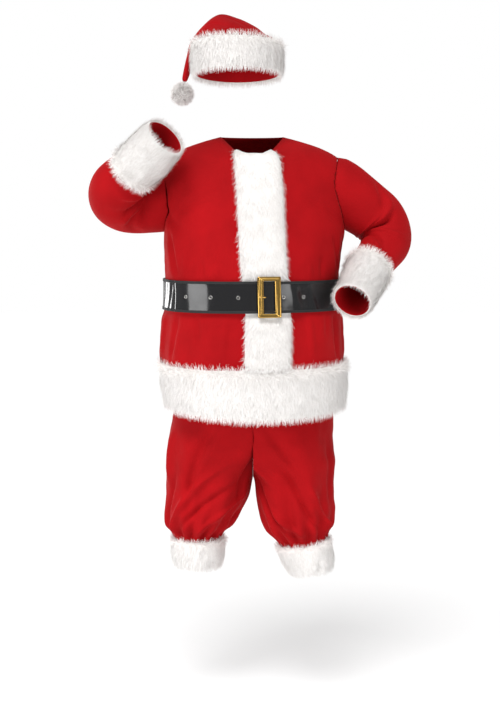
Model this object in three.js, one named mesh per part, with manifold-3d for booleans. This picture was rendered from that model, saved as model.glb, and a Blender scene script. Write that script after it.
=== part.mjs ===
// A Santa suit as it is worn: jacket with fur trim, belt with buckle, gathered trousers and hat.
// Millimetres, +Z up. The origin is the middle of the neck opening at shoulder height, the
// front faces -Y and the wearer's left is +X.
import * as THREE from 'three';
import Module from 'manifold-3d';
import { mergeVertices } from 'three/addons/utils/BufferGeometryUtils.js';

const wasm = await Module();
wasm.setup();

// ---------------------------------------------------------------- driving dimensions
const CLOTH = 2.0; // velour with its knitted back
const SEAM = 0.3; // gap between neighbouring pieces
const FUR = 14; // how far the pile reaches out of the cloth
const HEM_FUR = 14;
const HEM_TOP = -577; // height of the fur hem band's upper edge
const HEM_BOTTOM = -704;
const JACKET_END = -690; // the cloth stops inside the fur band
const STRIP_WIDTH = 122; // fur down the centre front
const STRIP_FLAT = 4; // pile pressed flat under the belt
const BELT_MIDDLE = -393;
const BELT_WIDTH = 82;
const BELT_THICK = 2.2;
const BINDING_WIDTH = 7;
const BINDING_THICK = 0.8;
const BELT_LIFT = 4.6; // how far the free end of the belt lies outside the layer below it
const BELT_END = -67.5; // where the free end stops, in degrees round from the centre front
const BUCKLE = { width: 62, height: 106, rail: 16, cap: 11, thick: 6, round: 3, bevel: 1.5, window: 2 };
const BUCKLE_CLEAR = 3.5; // from the belt's flat face out to the frame, which the belt curves away from
const BELT_CLEAR = 0.1;
const EYELET = { outer: 4.8, hole: 2.2, thick: 1.4, clear: 0.9 };
const WAISTBAND = { height: 38, thick: 5 };
const LEG_FUR = 14;
const CUFF_CLEAR = 4.5; // the gathered cloth lies inside the leg cuff
const CUFF_DROP = 6; // the leg cuff ends this far below the cloth
const POMPOM = { radius: 31, x: -189, y: 74, z: 144 };

const RED = 0xb8141c;
const WHITE = 0xf4f0ee;
const BLACK = 0x101012;
const BRASS = 0xc9a23c;
const STEEL = 0xb9bbbd;

// ---------------------------------------------------------------- tables
const table = (names, values) => {
  const columns = names.split(' ');
  return values.map((row) => Object.fromEntries(columns.map((name, i) => [name, row[i]])));
};

// Level sections of the jacket body. half is half the width; turn is how far the centre front is
// swung towards the wearer's left; drop lowers the front of the neck edge.
const TORSO = table('z x y half front back turn square drop', [
  [24, 0, 8, 84, 72, 70, 4, 2.0, 62],
  [11, 1, 7, 132, 88, 86, 4, 2.0, 44],
  [-8, 3, 5, 186, 103, 100, 4, 2.1, 24],
  [-34, 4, 3, 229, 116, 112, 5, 2.2, 8],
  [-72, 5, 1, 245, 128, 120, 5, 2.3, 0],
  [-130, 6, 0, 245, 145, 129, 6, 2.3, 0],
  [-215, 5, 0, 239, 166, 138, 7, 2.3, 0],
  [-310, 1, 0, 234, 187, 146, 9, 2.3, 0],
  [-393, 0, 0, 234, 196, 148, 12, 2.3, 0],
  [-470, 0, 0, 238, 204, 156, 12, 2.3, 0],
  [-577, 1, 0, 243, 212, 168, 11, 2.25, 2],
  [-704, 8, 0, 236, 214, 176, 10, 2.25, 18],
  [-760, 8, 0, 236, 214, 176, 10, 2.25, 18],
]);

// Soft folds of the jacket body: degrees round from the centre front, the heights between which
// a fold runs, how far it stands out (or in) and its half width in degrees.
const TORSO_FOLDS = table('at top bottom out wide', [
  [-72, -190, -380, 6, 9],
  [-56, -230, -372, -5, 8],
  [64, -220, -376, 6, 9],
  [80, -240, -378, -5, 8],
  [-40, -422, -575, 5, 10],
  [38, -424, -575, 4, 9],
  [-100, -425, -590, 7, 12],
  [100, -425, -590, 6, 12],
  [150, -200, -372, 6, 12],
  [-150, -210, -374, 6, 12],
  [176, -424, -600, 7, 13],
]);

// Each sleeve runs along a line with one rounded corner at the elbow. reach is the share of the
// way from its start to its end, and radius the half width there.
const SLEEVES = {
  right: {
    line: [[-140, 26, -122], [-215, 12, -140], [-452, -46, -177], [-318, -132, -78], [-222, -200, 17]],
    corner: 2,
    bend: 74,
    radii: table('reach radius', [
      [0, 70],
      [0.17, 84],
      [0.3, 82],
      [0.5, 74],
      [0.62, 66],
      [0.8, 56],
      [1, 50],
    ]),
    folds: table('reach out wide', [
      [0.34, -14, 0.09],
      [0.45, -5, 0.025],
      [0.56, -6, 0.022],
      [0.72, -10, 0.07],
    ]),
  },
  left: {
    line: [[150, 22, -96], [225, 14, -108], [390, 35, -226], [307, -72, -330], [258, -176, -400]],
    corner: 2,
    bend: 72,
    radii: table('reach radius', [
      [0, 66],
      [0.16, 82],
      [0.28, 80],
      [0.5, 69],
      [0.62, 59],
      [0.75, 52],
      [1, 49],
    ]),
    folds: table('reach out wide', [
      [0.4, 4, 0.03],
      [0.48, -5, 0.025],
      [0.57, -5, 0.022],
      [0.92, -9, 0.12],
    ]),
  },
};

// Fur cuffs lie on the last part of each sleeve: the share of the sleeve's length where they start.
const CUFF_START = { right: 0.72, left: 0.71 };
const CUFF_FUR = 13;

// Level sections of each trouser leg. Above the crotch inner lies past the middle of the body,
// and the centre seam cuts the section there.
const LEGS = {
  right: table('z outer inner front back y tilt', [
    [-454, -201, 201, 152, 138, 0, 0],
    [-560, -209, 209, 165, 144, 0, 0],
    [-650, -211, 196, 164, 146, 0, 0],
    [-730, -214, 140, 150, 142, 0, 0],
    [-800, -226, 76, 136, 138, 0, 0],
    [-850, -230, 28, 124, 130, 0, 0],
    [-890, -233, 3, 116, 122, 0, 0],
    [-940, -233, -8, 108, 116, 0, 0],
    [-985, -231, -34, 102, 108, 0, 0],
    [-1026, -227, -58, 94, 98, 0, 0],
    [-1056, -211, -86, 74, 76, 0, 0],
    [-1136, -203, -94, 62, 64, 0, 0],
  ]),
  left: table('z outer inner front back y tilt', [
    [-454, 201, -201, 152, 138, 0, 0],
    [-560, 211, -211, 165, 144, 0, 0],
    [-650, 218, -196, 164, 146, 0, 0],
    [-730, 221, -140, 150, 142, 0, 0],
    [-800, 222, -76, 136, 138, -2, 0],
    [-850, 227, -28, 124, 130, -6, 0],
    [-890, 223, 5, 116, 122, -10, 0],
    [-945, 221, 14, 110, 116, -16, 0],
    [-990, 219, 27, 104, 108, -22, 0.03],
    [-1028, 214, 46, 94, 96, -26, 0.08],
    [-1062, 203, 76, 74, 74, -30, 0.14],
    [-1142, 212, 114, 60, 62, -34, 0.15],
  ]),
};
const CROTCH_X = 3;
const GATHERS = table('z out', [[-454, 0], [-900, 0], [-985, 1.5], [-1034, 4], [-1062, 2], [-1142, 1]]);
const GATHER_COUNT = 13;
const GATHER_STRAY = { by: 20, times: 3 }; // how unevenly the gathers are spaced, in degrees
const LEG_FOLDS = table('at top bottom out wide', [
  [-35, -770, -1030, 7, 13],
  [-8, -820, -1040, -6, 11],
  [22, -740, -1000, 7, 13],
  [48, -860, -1035, -6, 12],
  [150, -760, -1035, 8, 15],
  [-150, -780, -1035, 7, 15],
  [95, -950, -1040, 7, 12],
  [-95, -960, -1045, 7, 12],
]);

// Sections of the hat's crown: the two ends of each across the front view (the side it folds
// over, then the outside), half its depth, the depth of its middle and how much its front rises.
const CROWN = table('innerX innerZ outerX outerZ depth y rise', [
  [-149, 190, 71, 190, 118, -15, 0.12],
  [-149, 270, 69, 264, 117, -15, 0.12],
  [-146, 280, 36, 290, 104, -12, 0.09],
  [-142, 286, 5, 312, 92, -8, 0.05],
  [-138, 288, -38, 334, 79, 2, 0.02],
  [-140, 285, -88, 346, 64, 14, 0],
  [-146, 282, -130, 318, 50, 32, 0],
  [-153, 272, -164, 279, 36, 54, 0],
  [-160, 242, -175, 243, 24, 70, 0],
  [-165, 210, -183, 211, 16, 76, 0],
  [-174, 184, -188, 184, 8, 76, 0],
  [-179, 176, -184, 176, 2.5, 76, 0],
]);
const BRIM_FUR = 15;

// ---------------------------------------------------------------- small helpers
const radians = THREE.MathUtils.degToRad;
const smooth = (a, b, x) => THREE.MathUtils.smoothstep(x, a, b);
const hump = (x) => Math.exp(-x * x);
const spread = (count, from = 0, to = 1) =>
  Array.from({ length: count + 1 }, (_, i) => from + ((to - from) * i) / count);

// A smooth curve through the rows of a table, at a share of the way down its rows.
function rowAt(rows, share) {
  const place = THREE.MathUtils.clamp(share, 0, 1) * (rows.length - 1);
  const i = Math.min(Math.floor(place), rows.length - 2);
  const t = place - i;
  const pick = (n) => rows[THREE.MathUtils.clamp(n, 0, rows.length - 1)];
  const [p, q, r, s] = [pick(i - 1), pick(i), pick(i + 1), pick(i + 2)];
  const blend = (name) => {
    const lead = (r[name] - p[name]) / 2;
    const trail = (s[name] - q[name]) / 2;
    const rise = r[name] - q[name];
    return q[name] + t * (lead + t * (3 * rise - 2 * lead - trail + t * (lead + trail - 2 * rise)));
  };
  return Object.fromEntries(Object.keys(q).map((name) => [name, blend(name)]));
}

// The share at which a column reaches a value, for a column that only falls or only rises.
function shareOf(rows, name, value) {
  const falling = rows[0][name] > rows.at(-1)[name];
  let [low, high] = [0, 1];
  for (let step = 0; step < 40; step += 1) {
    const middle = (low + high) / 2;
    const before = falling ? rowAt(rows, middle)[name] > value : rowAt(rows, middle)[name] < value;
    if (before) low = middle;
    else high = middle;
  }
  return (low + high) / 2;
}

// Straight-line reading of a two-column table.
function read(rows, key, column, value) {
  const sign = Math.sign(rows.at(-1)[key] - rows[0][key]);
  const next = rows.findIndex((row) => sign * row[key] >= sign * value);
  if (next === 0) return rows[0][column];
  if (next < 0) return rows.at(-1)[column];
  const t = (value - rows[next - 1][key]) / (rows[next][key] - rows[next - 1][key]);
  return THREE.MathUtils.lerp(rows[next - 1][column], rows[next][column], t);
}

const apart = (a, b) => THREE.MathUtils.euclideanModulo(a - b + 180, 360) - 180;

function foldAt(folds, angle, z) {
  return folds.reduce((sum, fold) => {
    const below = smooth(fold.bottom - 25, fold.bottom + 45, z);
    const above = 1 - smooth(fold.top - 45, fold.top + 25, z);
    return sum + fold.out * below * above * hump(apart(angle, fold.at) / fold.wide);
  }, 0);
}

// Any surface as a function (u, v) => Vector3, moved out along its own normal.
function moved(surface, u, v, distance) {
  const step = 1e-3;
  const here = surface(u, v);
  const across = surface(u + step, v).sub(surface(u - step, v));
  const [low, high] = [Math.max(0, v - step), Math.min(1, v + step)];
  const down = surface(u, high).sub(surface(u, low));
  const normal = down.cross(across).normalize();
  return here.addScaledVector(normal, distance);
}

function geometryOf(points, faces) {
  const geometry = new THREE.BufferGeometry();
  const places = points.flatMap((p) => p.toArray());
  geometry.setAttribute('position', new THREE.Float32BufferAttribute(places, 3));
  geometry.setIndex(faces.flat());
  return geometry;
}

function volumeOf(points, faces) {
  return faces.reduce((sum, [a, b, c]) => sum + points[a].dot(points[b].clone().cross(points[c])), 0) / 6;
}

// A closed wall between two distances from a surface. us and vs are the grid lines; closed joins
// the last grid line across to the first. inner and outer are distances or functions (u, v).
function wall(surface, us, vs, inner, outer, closed = false) {
  const far = typeof outer === 'function' ? outer : () => outer;
  const near = typeof inner === 'function' ? inner : () => inner;
  const lines = closed ? us.slice(0, -1) : us;
  const [across, down] = [lines.length, vs.length];
  const points = [far, near].flatMap((layer) =>
    vs.flatMap((v) => lines.map((u) => moved(surface, u, v, layer(u, v)))));
  const at = (layer, i, j) => (layer * down + j) * across + (i % across);
  const faces = [];
  const quad = (a, b, c, d) => faces.push([a, b, c], [a, c, d]);
  const cells = closed ? across : across - 1;
  for (let i = 0; i < cells; i += 1) {
    for (let j = 0; j < down - 1; j += 1) {
      quad(at(0, i, j), at(0, i, j + 1), at(0, i + 1, j + 1), at(0, i + 1, j));
      quad(at(1, i, j), at(1, i + 1, j), at(1, i + 1, j + 1), at(1, i, j + 1));
    }
    quad(at(0, i, 0), at(0, i + 1, 0), at(1, i + 1, 0), at(1, i, 0));
    quad(at(0, i, down - 1), at(1, i, down - 1), at(1, i + 1, down - 1), at(0, i + 1, down - 1));
  }
  if (!closed) {
    for (let j = 0; j < down - 1; j += 1) {
      quad(at(0, 0, j), at(1, 0, j), at(1, 0, j + 1), at(0, 0, j + 1));
      const last = across - 1;
      quad(at(0, last, j), at(0, last, j + 1), at(1, last, j + 1), at(1, last, j));
    }
  }
  const outward = volumeOf(points, faces) > 0 ? faces : faces.map(([a, b, c]) => [a, c, b]);
  return geometryOf(points, outward);
}

// A solid through closed sections, with a flat fan over each end.
function filled(surface, us, vs, distance) {
  const lines = us.slice(0, -1);
  const count = lines.length;
  const points = vs.flatMap((v) => lines.map((u) => moved(surface, u, v, distance)));
  const faces = [];
  for (let j = 0; j < vs.length - 1; j += 1) {
    for (let i = 0; i < count; i += 1) {
      const [a, b] = [j * count + i, j * count + ((i + 1) % count)];
      faces.push([a, a + count, b + count], [a, b + count, b]);
    }
  }
  for (const [start, flip] of [[0, false], [(vs.length - 1) * count, true]]) {
    const ring = points.slice(start, start + count);
    const middle = ring.reduce((sum, p) => sum.add(p), new THREE.Vector3()).divideScalar(count);
    points.push(middle);
    for (let i = 0; i < count; i += 1) {
      const [a, b] = [start + i, start + ((i + 1) % count)];
      faces.push(flip ? [points.length - 1, b, a] : [points.length - 1, a, b]);
    }
  }
  const outward = volumeOf(points, faces) > 0 ? faces : faces.map(([a, b, c]) => [a, c, b]);
  return geometryOf(points, outward);
}

// ---------------------------------------------------------------- joining and cutting
function solid(geometry) {
  const bare = geometry.clone();
  bare.deleteAttribute('normal');
  bare.deleteAttribute('uv');
  const welded = mergeVertices(bare, 1e-4);
  return new wasm.Manifold(new wasm.Mesh({
    numProp: 3,
    vertProperties: new Float32Array(welded.attributes.position.array),
    triVerts: new Uint32Array(welded.index.array),
  }));
}

function shape(manifold) {
  const mesh = manifold.getMesh();
  const geometry = new THREE.BufferGeometry();
  geometry.setAttribute('position', new THREE.BufferAttribute(mesh.vertProperties, 3));
  geometry.setIndex(new THREE.BufferAttribute(mesh.triVerts, 1));
  return geometry;
}

function box(low, high) {
  const size = high.map((value, i) => value - low[i]);
  const geometry = new THREE.BoxGeometry(...size);
  return geometry.translate(...low.map((value, i) => value + size[i] / 2));
}

const group = new THREE.Group();
const finish = {
  velour: { color: RED, roughness: 0.85, metalness: 0 },
  fur: { color: WHITE, roughness: 0.95, metalness: 0 },
  vinyl: { color: BLACK, roughness: 0.2, metalness: 0 },
  binding: { color: BLACK, roughness: 0.7, metalness: 0 },
  brass: { color: BRASS, roughness: 0.25, metalness: 1 },
  steel: { color: STEEL, roughness: 0.3, metalness: 1 },
};

function add(name, geometry, look) {
  const mesh = new THREE.Mesh(geometry, new THREE.MeshStandardMaterial(finish[look]));
  mesh.name = name;
  group.add(mesh);
}

// ---------------------------------------------------------------- jacket body
// 1 under the belt, falling to 0 above and below it.
const pressed = (z) => hump(Math.max(0, Math.abs(z - BELT_MIDDLE) - BELT_WIDTH / 2) / 16);

// u is in degrees round from the centre front towards the wearer's left, v the share of the rows.
function bodyForm(u, v, folds) {
  const row = rowAt(TORSO, v);
  const angle = radians(u);
  const depth = Math.cos(angle) > 0 ? row.front : row.back;
  const power = row.square;
  const across = Math.abs(Math.sin(angle)) / row.half;
  const along = Math.abs(Math.cos(angle)) / depth;
  const reach = across ** power + along ** power;
  const radius = reach ** (-1 / power) + foldAt(folds, u, row.z) * (1 - pressed(row.z));
  const bearing = angle + radians(row.turn);
  const facing = Math.max(0, Math.cos(angle)) ** 2;
  return new THREE.Vector3(
    row.x + radius * Math.sin(bearing),
    row.y - radius * Math.cos(bearing),
    row.z - row.drop * facing,
  );
}

const torso = (u, v) => bodyForm(u, v, TORSO_FOLDS);
const torsoShare = (z) => shareOf(TORSO, 'z', z);
const torsoLevels = [
  ...[0, 0.5, 1, 1.5, 2, 2.5, 3, 4, 5, 6, 7, 9, 10].map((n) => n / (TORSO.length - 1)),
  ...[26, 0, -BELT_WIDTH, -BELT_WIDTH - 26].map((down) => torsoShare(BELT_MIDDLE + BELT_WIDTH / 2 + down)),
].sort((a, b) => a - b);
const hemLevels = [HEM_TOP, HEM_TOP - 24, JACKET_END, HEM_BOTTOM].map(torsoShare);
const jacketLevels = [...torsoLevels, ...hemLevels.slice(1, 3)];
const seamTurn = (radius) => THREE.MathUtils.radToDeg(SEAM / 2 / radius);
const SIDE_SEAM = 92;

const sleeveOuter = {};
const FRONT_LINES = 9;
const BACK_LINES = 16;
const bodyRound = [
  ...spread(FRONT_LINES, 0, SIDE_SEAM),
  ...spread(BACK_LINES, SIDE_SEAM, 360 - SIDE_SEAM).slice(1),
  ...spread(FRONT_LINES, 360 - SIDE_SEAM, 360).slice(1),
];
const torsoSolid = solid(filled(torso, bodyRound, [...jacketLevels, 1], CLOTH / 2 + SEAM));

// ---------------------------------------------------------------- sleeves
// The line's straight stretches and its rounded corner, as a curve.
function sleeveCurve({ line, corner, bend }) {
  const points = line.map((p) => new THREE.Vector3(...p));
  const here = points[corner];
  const back = points[corner - 1].clone().sub(here).normalize();
  const ahead = points[corner + 1].clone().sub(here).normalize();
  const half = back.angleTo(ahead) / 2;
  const tangent = bend / Math.tan(half);
  const centre = back.clone().add(ahead).normalize().multiplyScalar(bend / Math.sin(half)).add(here);
  const start = here.clone().addScaledVector(back, tangent).sub(centre);
  const side = here.clone().addScaledVector(ahead, tangent).sub(centre);
  const sweep = Math.PI - 2 * half;
  const axis = start.clone().cross(side).normalize();
  const arc = spread(5).map((t) => start.clone().applyAxisAngle(axis, sweep * t).add(centre));
  const path = [...points.slice(0, corner), ...arc, ...points.slice(corner + 1)];
  return { path, axis };
}

// A tube surface along a sleeve: u in degrees round, 0 on the outside of the elbow.
function sleeveSurface(sleeve) {
  const { path, axis } = sleeveCurve(sleeve);
  const lengths = path.map((p, i) => (i ? p.distanceTo(path[i - 1]) : 0));
  const total = lengths.reduce((sum, length) => sum + length, 0);
  const upTo = (i) => lengths.slice(0, i + 1).reduce((sum, length) => sum + length, 0);
  const shares = lengths.map((_, i) => upTo(i) / total);
  const place = (share) => {
    const next = Math.max(1, shares.findIndex((value) => value >= share - 1e-9));
    const t = (share - shares[next - 1]) / (shares[next] - shares[next - 1]);
    return path[next - 1].clone().lerp(path[next], t);
  };
  const surface = (u, v) => {
    const share = THREE.MathUtils.clamp(v, 0, 1);
    const span = 0.035;
    const ahead = place(Math.min(1, share + span)).sub(place(Math.max(0, share - span))).normalize();
    const middle = place(share);
    const out = ahead.clone().cross(axis).normalize();
    const side = out.clone().cross(ahead).normalize();
    const inside = (1 - Math.cos(radians(u))) / 2;
    const fold = sleeve.folds.reduce((sum, row) => sum + row.out * hump((share - row.reach) / row.wide), 0);
    const radius = read(sleeve.radii, 'reach', 'radius', share) + fold * inside;
    return middle
      .addScaledVector(out, radius * Math.cos(radians(u)))
      .addScaledVector(side, radius * Math.sin(radians(u)));
  };
  return { surface, shares };
}

const SLEEVE_ROUND = spread(18, 0, 360);
for (const [side, sleeve] of Object.entries(SLEEVES)) {
  const { surface, shares } = sleeveSurface(sleeve);
  const start = CUFF_START[side];
  const cuffLevels = [start, start + 0.02, (start + 1) / 2, 0.98, 1];
  const stations = [...new Set([...shares, ...cuffLevels, 0.29])].sort((a, b) => a - b);
  sleeveOuter[side] = solid(filled(surface, SLEEVE_ROUND, stations, CLOTH / 2 + SEAM));
  const tube = solid(wall(surface, SLEEVE_ROUND, stations, -CLOTH / 2, CLOTH / 2, true));
  add(`sleeve_${side}`, shape(tube.subtract(torsoSolid)), 'velour');
  const swell = (v) => Math.min(1, 0.55 + 0.45 * smooth(0, 0.03, Math.min(v - start, 1 - v)));
  const furOut = (u, v) => CLOTH / 2 + SEAM + CUFF_FUR * swell(v);
  const covered = stations.filter((v) => v >= start);
  add(`fur_cuff_${side}`, wall(surface, SLEEVE_ROUND, covered, CLOTH / 2 + SEAM, furOut, true), 'fur');
}

// ---------------------------------------------------------------- jacket panels
const gapAt = seamTurn(200);
const panels = {
  jacket_front_left: spread(FRONT_LINES, gapAt, SIDE_SEAM - gapAt),
  jacket_back: spread(BACK_LINES, SIDE_SEAM + gapAt, 360 - SIDE_SEAM - gapAt),
  jacket_front_right: spread(FRONT_LINES, 360 - SIDE_SEAM + gapAt, 360 - gapAt),
};
for (const [name, us] of Object.entries(panels)) {
  const cloth = solid(wall(torso, us, jacketLevels, -CLOTH / 2, CLOTH / 2));
  add(name, shape(cloth.subtract(sleeveOuter.left).subtract(sleeveOuter.right)), 'velour');
}

// ---------------------------------------------------------------- fur strip and hem band
const onCloth = CLOTH / 2 + SEAM;
const beltShare = torsoShare(BELT_MIDDLE);

// The strip across: s from -1 to 1, the same width at every height.
function strip(s, v) {
  const row = rowAt(TORSO, v);
  const turn = THREE.MathUtils.radToDeg(Math.atan2((s * STRIP_WIDTH) / 2, row.front));
  return torso(turn, v);
}
const stripPile = (s, v) => {
  const z = rowAt(TORSO, v).z;
  const edge = 1 - 0.5 * smooth(0.6, 1, Math.abs(s));
  return onCloth + THREE.MathUtils.lerp(FUR * edge, STRIP_FLAT, pressed(z));
};
const stripEnd = torsoShare(HEM_TOP + SEAM);
const stripLevels = [
  ...torsoLevels.filter((v) => v < beltShare - 0.03),
  torsoShare(BELT_MIDDLE + BELT_WIDTH / 2 + 14),
  torsoShare(BELT_MIDDLE + BELT_WIDTH / 2),
  torsoShare(BELT_MIDDLE - BELT_WIDTH / 2),
  torsoShare(BELT_MIDDLE - BELT_WIDTH / 2 - 14),
  torsoShare(-500),
  stripEnd,
].sort((a, b) => a - b);
const stripWall = solid(wall(strip, [-1, -0.6, 0, 0.6, 1], stripLevels, 0, stripPile));
add('fur_front_strip', shape(stripWall.subtract(torsoSolid)), 'fur');

const hemPile = (u, v) => {
  const z = rowAt(TORSO, v).z;
  const edge = Math.min(HEM_TOP - z, z - HEM_BOTTOM);
  return onCloth + HEM_FUR * (0.45 + 0.55 * smooth(-2, 14, edge));
};
const hemRound = [gapAt, ...bodyRound.slice(1, -1), 360 - gapAt];
add('fur_hem_band', wall(torso, hemRound, hemLevels, onCloth, hemPile), 'fur');

// ---------------------------------------------------------------- belt
// The belt is one strap. It starts behind the buckle, goes round by the wearer's right and the
// back, and its free end comes through the buckle and lies over the start.
const BUCKLE_AT = 0;
const BELT_START = -8;
const overStrip = (u) => 1 - smooth(15, 26, Math.abs(apart(u, 0)));
const overLayer = (u) => 1 - smooth(18, 34, u);
const beltLift = (u) => onCloth + 1.4 + BINDING_THICK + STRIP_FLAT * overStrip(u);
// u runs from BELT_END, over the start, round by the wearer's left and the back to the start.
const strapTurns = spread(44, BELT_END, 360 + BELT_START);
const strapIn = (u) => beltLift(u) + BELT_LIFT * overLayer(u);
const beltEdge = BELT_WIDTH / 2;
const beltLevels = [BELT_MIDDLE + beltEdge, BELT_MIDDLE, BELT_MIDDLE - beltEdge].map(torsoShare);
// The belt bridges the body's folds.
const beltForm = (u, v) => bodyForm(u, v, []);
const strap = solid(wall(beltForm, strapTurns, beltLevels, strapIn, (u) => strapIn(u) + BELT_THICK));
add('belt_strap', shape(strap.subtract(torsoSolid)), 'vinyl');
const bindingTops = { top: BELT_MIDDLE + beltEdge, bottom: BELT_MIDDLE - beltEdge + BINDING_WIDTH };
for (const [name, top] of Object.entries(bindingTops)) {
  const levels = [top, top - BINDING_WIDTH].map(torsoShare);
  const under = (u) => strapIn(u) + BELT_THICK + SEAM;
  const over = (u) => under(u) + BINDING_THICK;
  add(`belt_binding_${name}`, wall(beltForm, strapTurns, levels, under, over), 'binding');
}

// ---------------------------------------------------------------- buckle and eyelets
// A flat frame for things that lie on the belt: x to the wearer's left, y up, z out.
function onBelt(degrees, lift) {
  const place = moved(beltForm, degrees, beltShare, lift);
  const out = place.clone().sub(moved(beltForm, degrees, beltShare, lift - 1)).normalize();
  const across = new THREE.Vector3(0, 0, 1).cross(out).normalize();
  const up = out.clone().cross(across);
  return new THREE.Matrix4().makeBasis(across, up, out).setPosition(place);
}

const rectangle = (width, height, round, Type = THREE.Shape) => {
  const [x, y] = [width / 2, height / 2];
  const path = new Type();
  path.moveTo(-x + round, -y).lineTo(x - round, -y).absarc(x - round, -y + round, round, -Math.PI / 2, 0);
  path.lineTo(x, y - round).absarc(x - round, y - round, round, 0, Math.PI / 2);
  path.lineTo(-x + round, y).absarc(-x + round, y - round, round, Math.PI / 2, Math.PI);
  path.lineTo(-x, -y + round).absarc(-x + round, -y + round, round, Math.PI, Math.PI * 1.5);
  return path;
};
const beltFace = (u) => strapIn(u) + BELT_THICK + BINDING_THICK + BELT_CLEAR;
const frame = rectangle(BUCKLE.width, BUCKLE.height, BUCKLE.round);
const windowSize = [BUCKLE.width - 2 * BUCKLE.rail, BUCKLE.height - 2 * BUCKLE.cap];
frame.holes.push(rectangle(...windowSize, BUCKLE.window, THREE.Path));
const frameSolid = new THREE.ExtrudeGeometry(frame, {
  depth: BUCKLE.thick - 2 * BUCKLE.bevel,
  bevelThickness: BUCKLE.bevel,
  bevelSize: BUCKLE.bevel,
  bevelOffset: -BUCKLE.bevel,
  bevelSegments: 1,
  curveSegments: 2,
});
const BUCKLE_LIFT = beltFace(BUCKLE_AT) + BUCKLE_CLEAR;
frameSolid.translate(0, 0, BUCKLE.bevel).applyMatrix4(onBelt(BUCKLE_AT, BUCKLE_LIFT));
add('buckle_frame', frameSolid, 'brass');

const PRONG = { length: 20, wide: 4, thick: 2.4 };
const prong = new THREE.BoxGeometry(PRONG.length, PRONG.wide, PRONG.thick);
const prongX = -BUCKLE.width / 2 + BUCKLE.rail - 5;
prong.translate(prongX, 0, BUCKLE.thick + SEAM + PRONG.thick / 2);
prong.applyMatrix4(onBelt(BUCKLE_AT, BUCKLE_LIFT));
add('buckle_prong', prong, 'brass');

const ringProfile = [
  [EYELET.hole, 0],
  [EYELET.outer, 0],
  [EYELET.outer - 0.6, EYELET.thick],
  [EYELET.hole + 0.4, EYELET.thick],
  [EYELET.hole, 0],
].map(([r, z]) => new THREE.Vector2(r, z));
const eyeletPlaces = [-57.5, -40.25, -22, 11, 26.75];
eyeletPlaces.forEach((degrees, i) => {
  const ring = new THREE.LatheGeometry(ringProfile, 10).rotateX(Math.PI / 2);
  ring.applyMatrix4(onBelt(degrees, strapIn(degrees) + BELT_THICK + EYELET.clear));
  add(`eyelet_${i + 1}`, shape(solid(ring)), 'steel');
});

// ---------------------------------------------------------------- trousers
function legSurface(rows) {
  return (u, v) => {
    const row = rowAt(rows, v);
    const angle = radians(u);
    const middle = (row.outer + row.inner) / 2;
    const half = Math.abs(row.outer - row.inner) / 2;
    const depth = Math.cos(angle) > 0 ? row.front : row.back;
    const stray = GATHER_STRAY.by * Math.sin(radians(GATHER_STRAY.times * u));
    const gather = read(GATHERS, 'z', 'out', row.z) * Math.cos(radians(GATHER_COUNT * u + stray));
    const swell = 1 + (gather + foldAt(LEG_FOLDS, u, row.z)) / half;
    const x = middle + half * swell * Math.sin(angle);
    return new THREE.Vector3(x, row.y - depth * swell * Math.cos(angle), row.z + row.tilt * (x - middle));
  };
}

const LEG_LINES = 12;
const legLevels = [0, 1, 2, 3, 4, 5, 6, 7, 7.5, 8, 8.5, 9, 9.5, 10, 11].map((n) => n / 11);
const ROOM = 400; // wider than half the trousers
const ROOM_BOTTOM = -1300;
const cutAt = {
  right: box([-ROOM, -ROOM, ROOM_BOTTOM], [CROTCH_X - SEAM / 2, ROOM, 0]),
  left: box([CROTCH_X + SEAM / 2, -ROOM, ROOM_BOTTOM], [ROOM, ROOM, 0]),
};
for (const [side, rows] of Object.entries(LEGS)) {
  const surface = legSurface(rows);
  const half = solid(cutAt[side]);
  const gap = seamTurn(110);
  const halves = {
    front: spread(LEG_LINES, -90 + gap, 90 - gap),
    back: spread(LEG_LINES, 90 + gap, 270 - gap),
  };
  for (const [face, us] of Object.entries(halves)) {
    const cloth = solid(wall(surface, us, legLevels, -CLOTH / 2, CLOTH / 2));
    add(`trouser_${face}_${side}`, shape(cloth.intersect(half)), 'velour');
  }
  const cuffRows = rows.slice(-2).map((row) => ({ ...row, z: row.z - CUFF_DROP }));
  const cuff = (u, v) => {
    const row = rowAt(cuffRows, v);
    const angle = radians(u);
    const middle = (row.outer + row.inner) / 2;
    const x = middle + (Math.abs(row.outer - row.inner) / 2) * Math.sin(angle);
    const depth = Math.cos(angle) > 0 ? row.front : row.back;
    return new THREE.Vector3(x, row.y - depth * Math.cos(angle), row.z + row.tilt * (x - middle));
  };
  const pile = (u, v) => CUFF_CLEAR + LEG_FUR * (0.45 + 0.55 * smooth(0, 0.12, Math.min(v, 1 - v)));
  const trim = wall(cuff, spread(20, 0, 360), [0, 0.12, 0.5, 0.88, 1], CUFF_CLEAR, pile, true);
  add(`fur_leg_cuff_${side}`, trim, 'fur');
}

function waist(u, v) {
  const row = LEGS.right[0];
  const depth = Math.cos(radians(u)) > 0 ? row.front : row.back;
  const z = row.z + SEAM + WAISTBAND.height * (1 - v);
  return new THREE.Vector3(row.inner * Math.sin(radians(u)), -depth * Math.cos(radians(u)), z);
}
const bandHalf = WAISTBAND.thick / 2;
add('trouser_waistband', wall(waist, spread(36, 0, 360), [0, 1], -bandHalf, bandHalf, true), 'velour');

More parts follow.
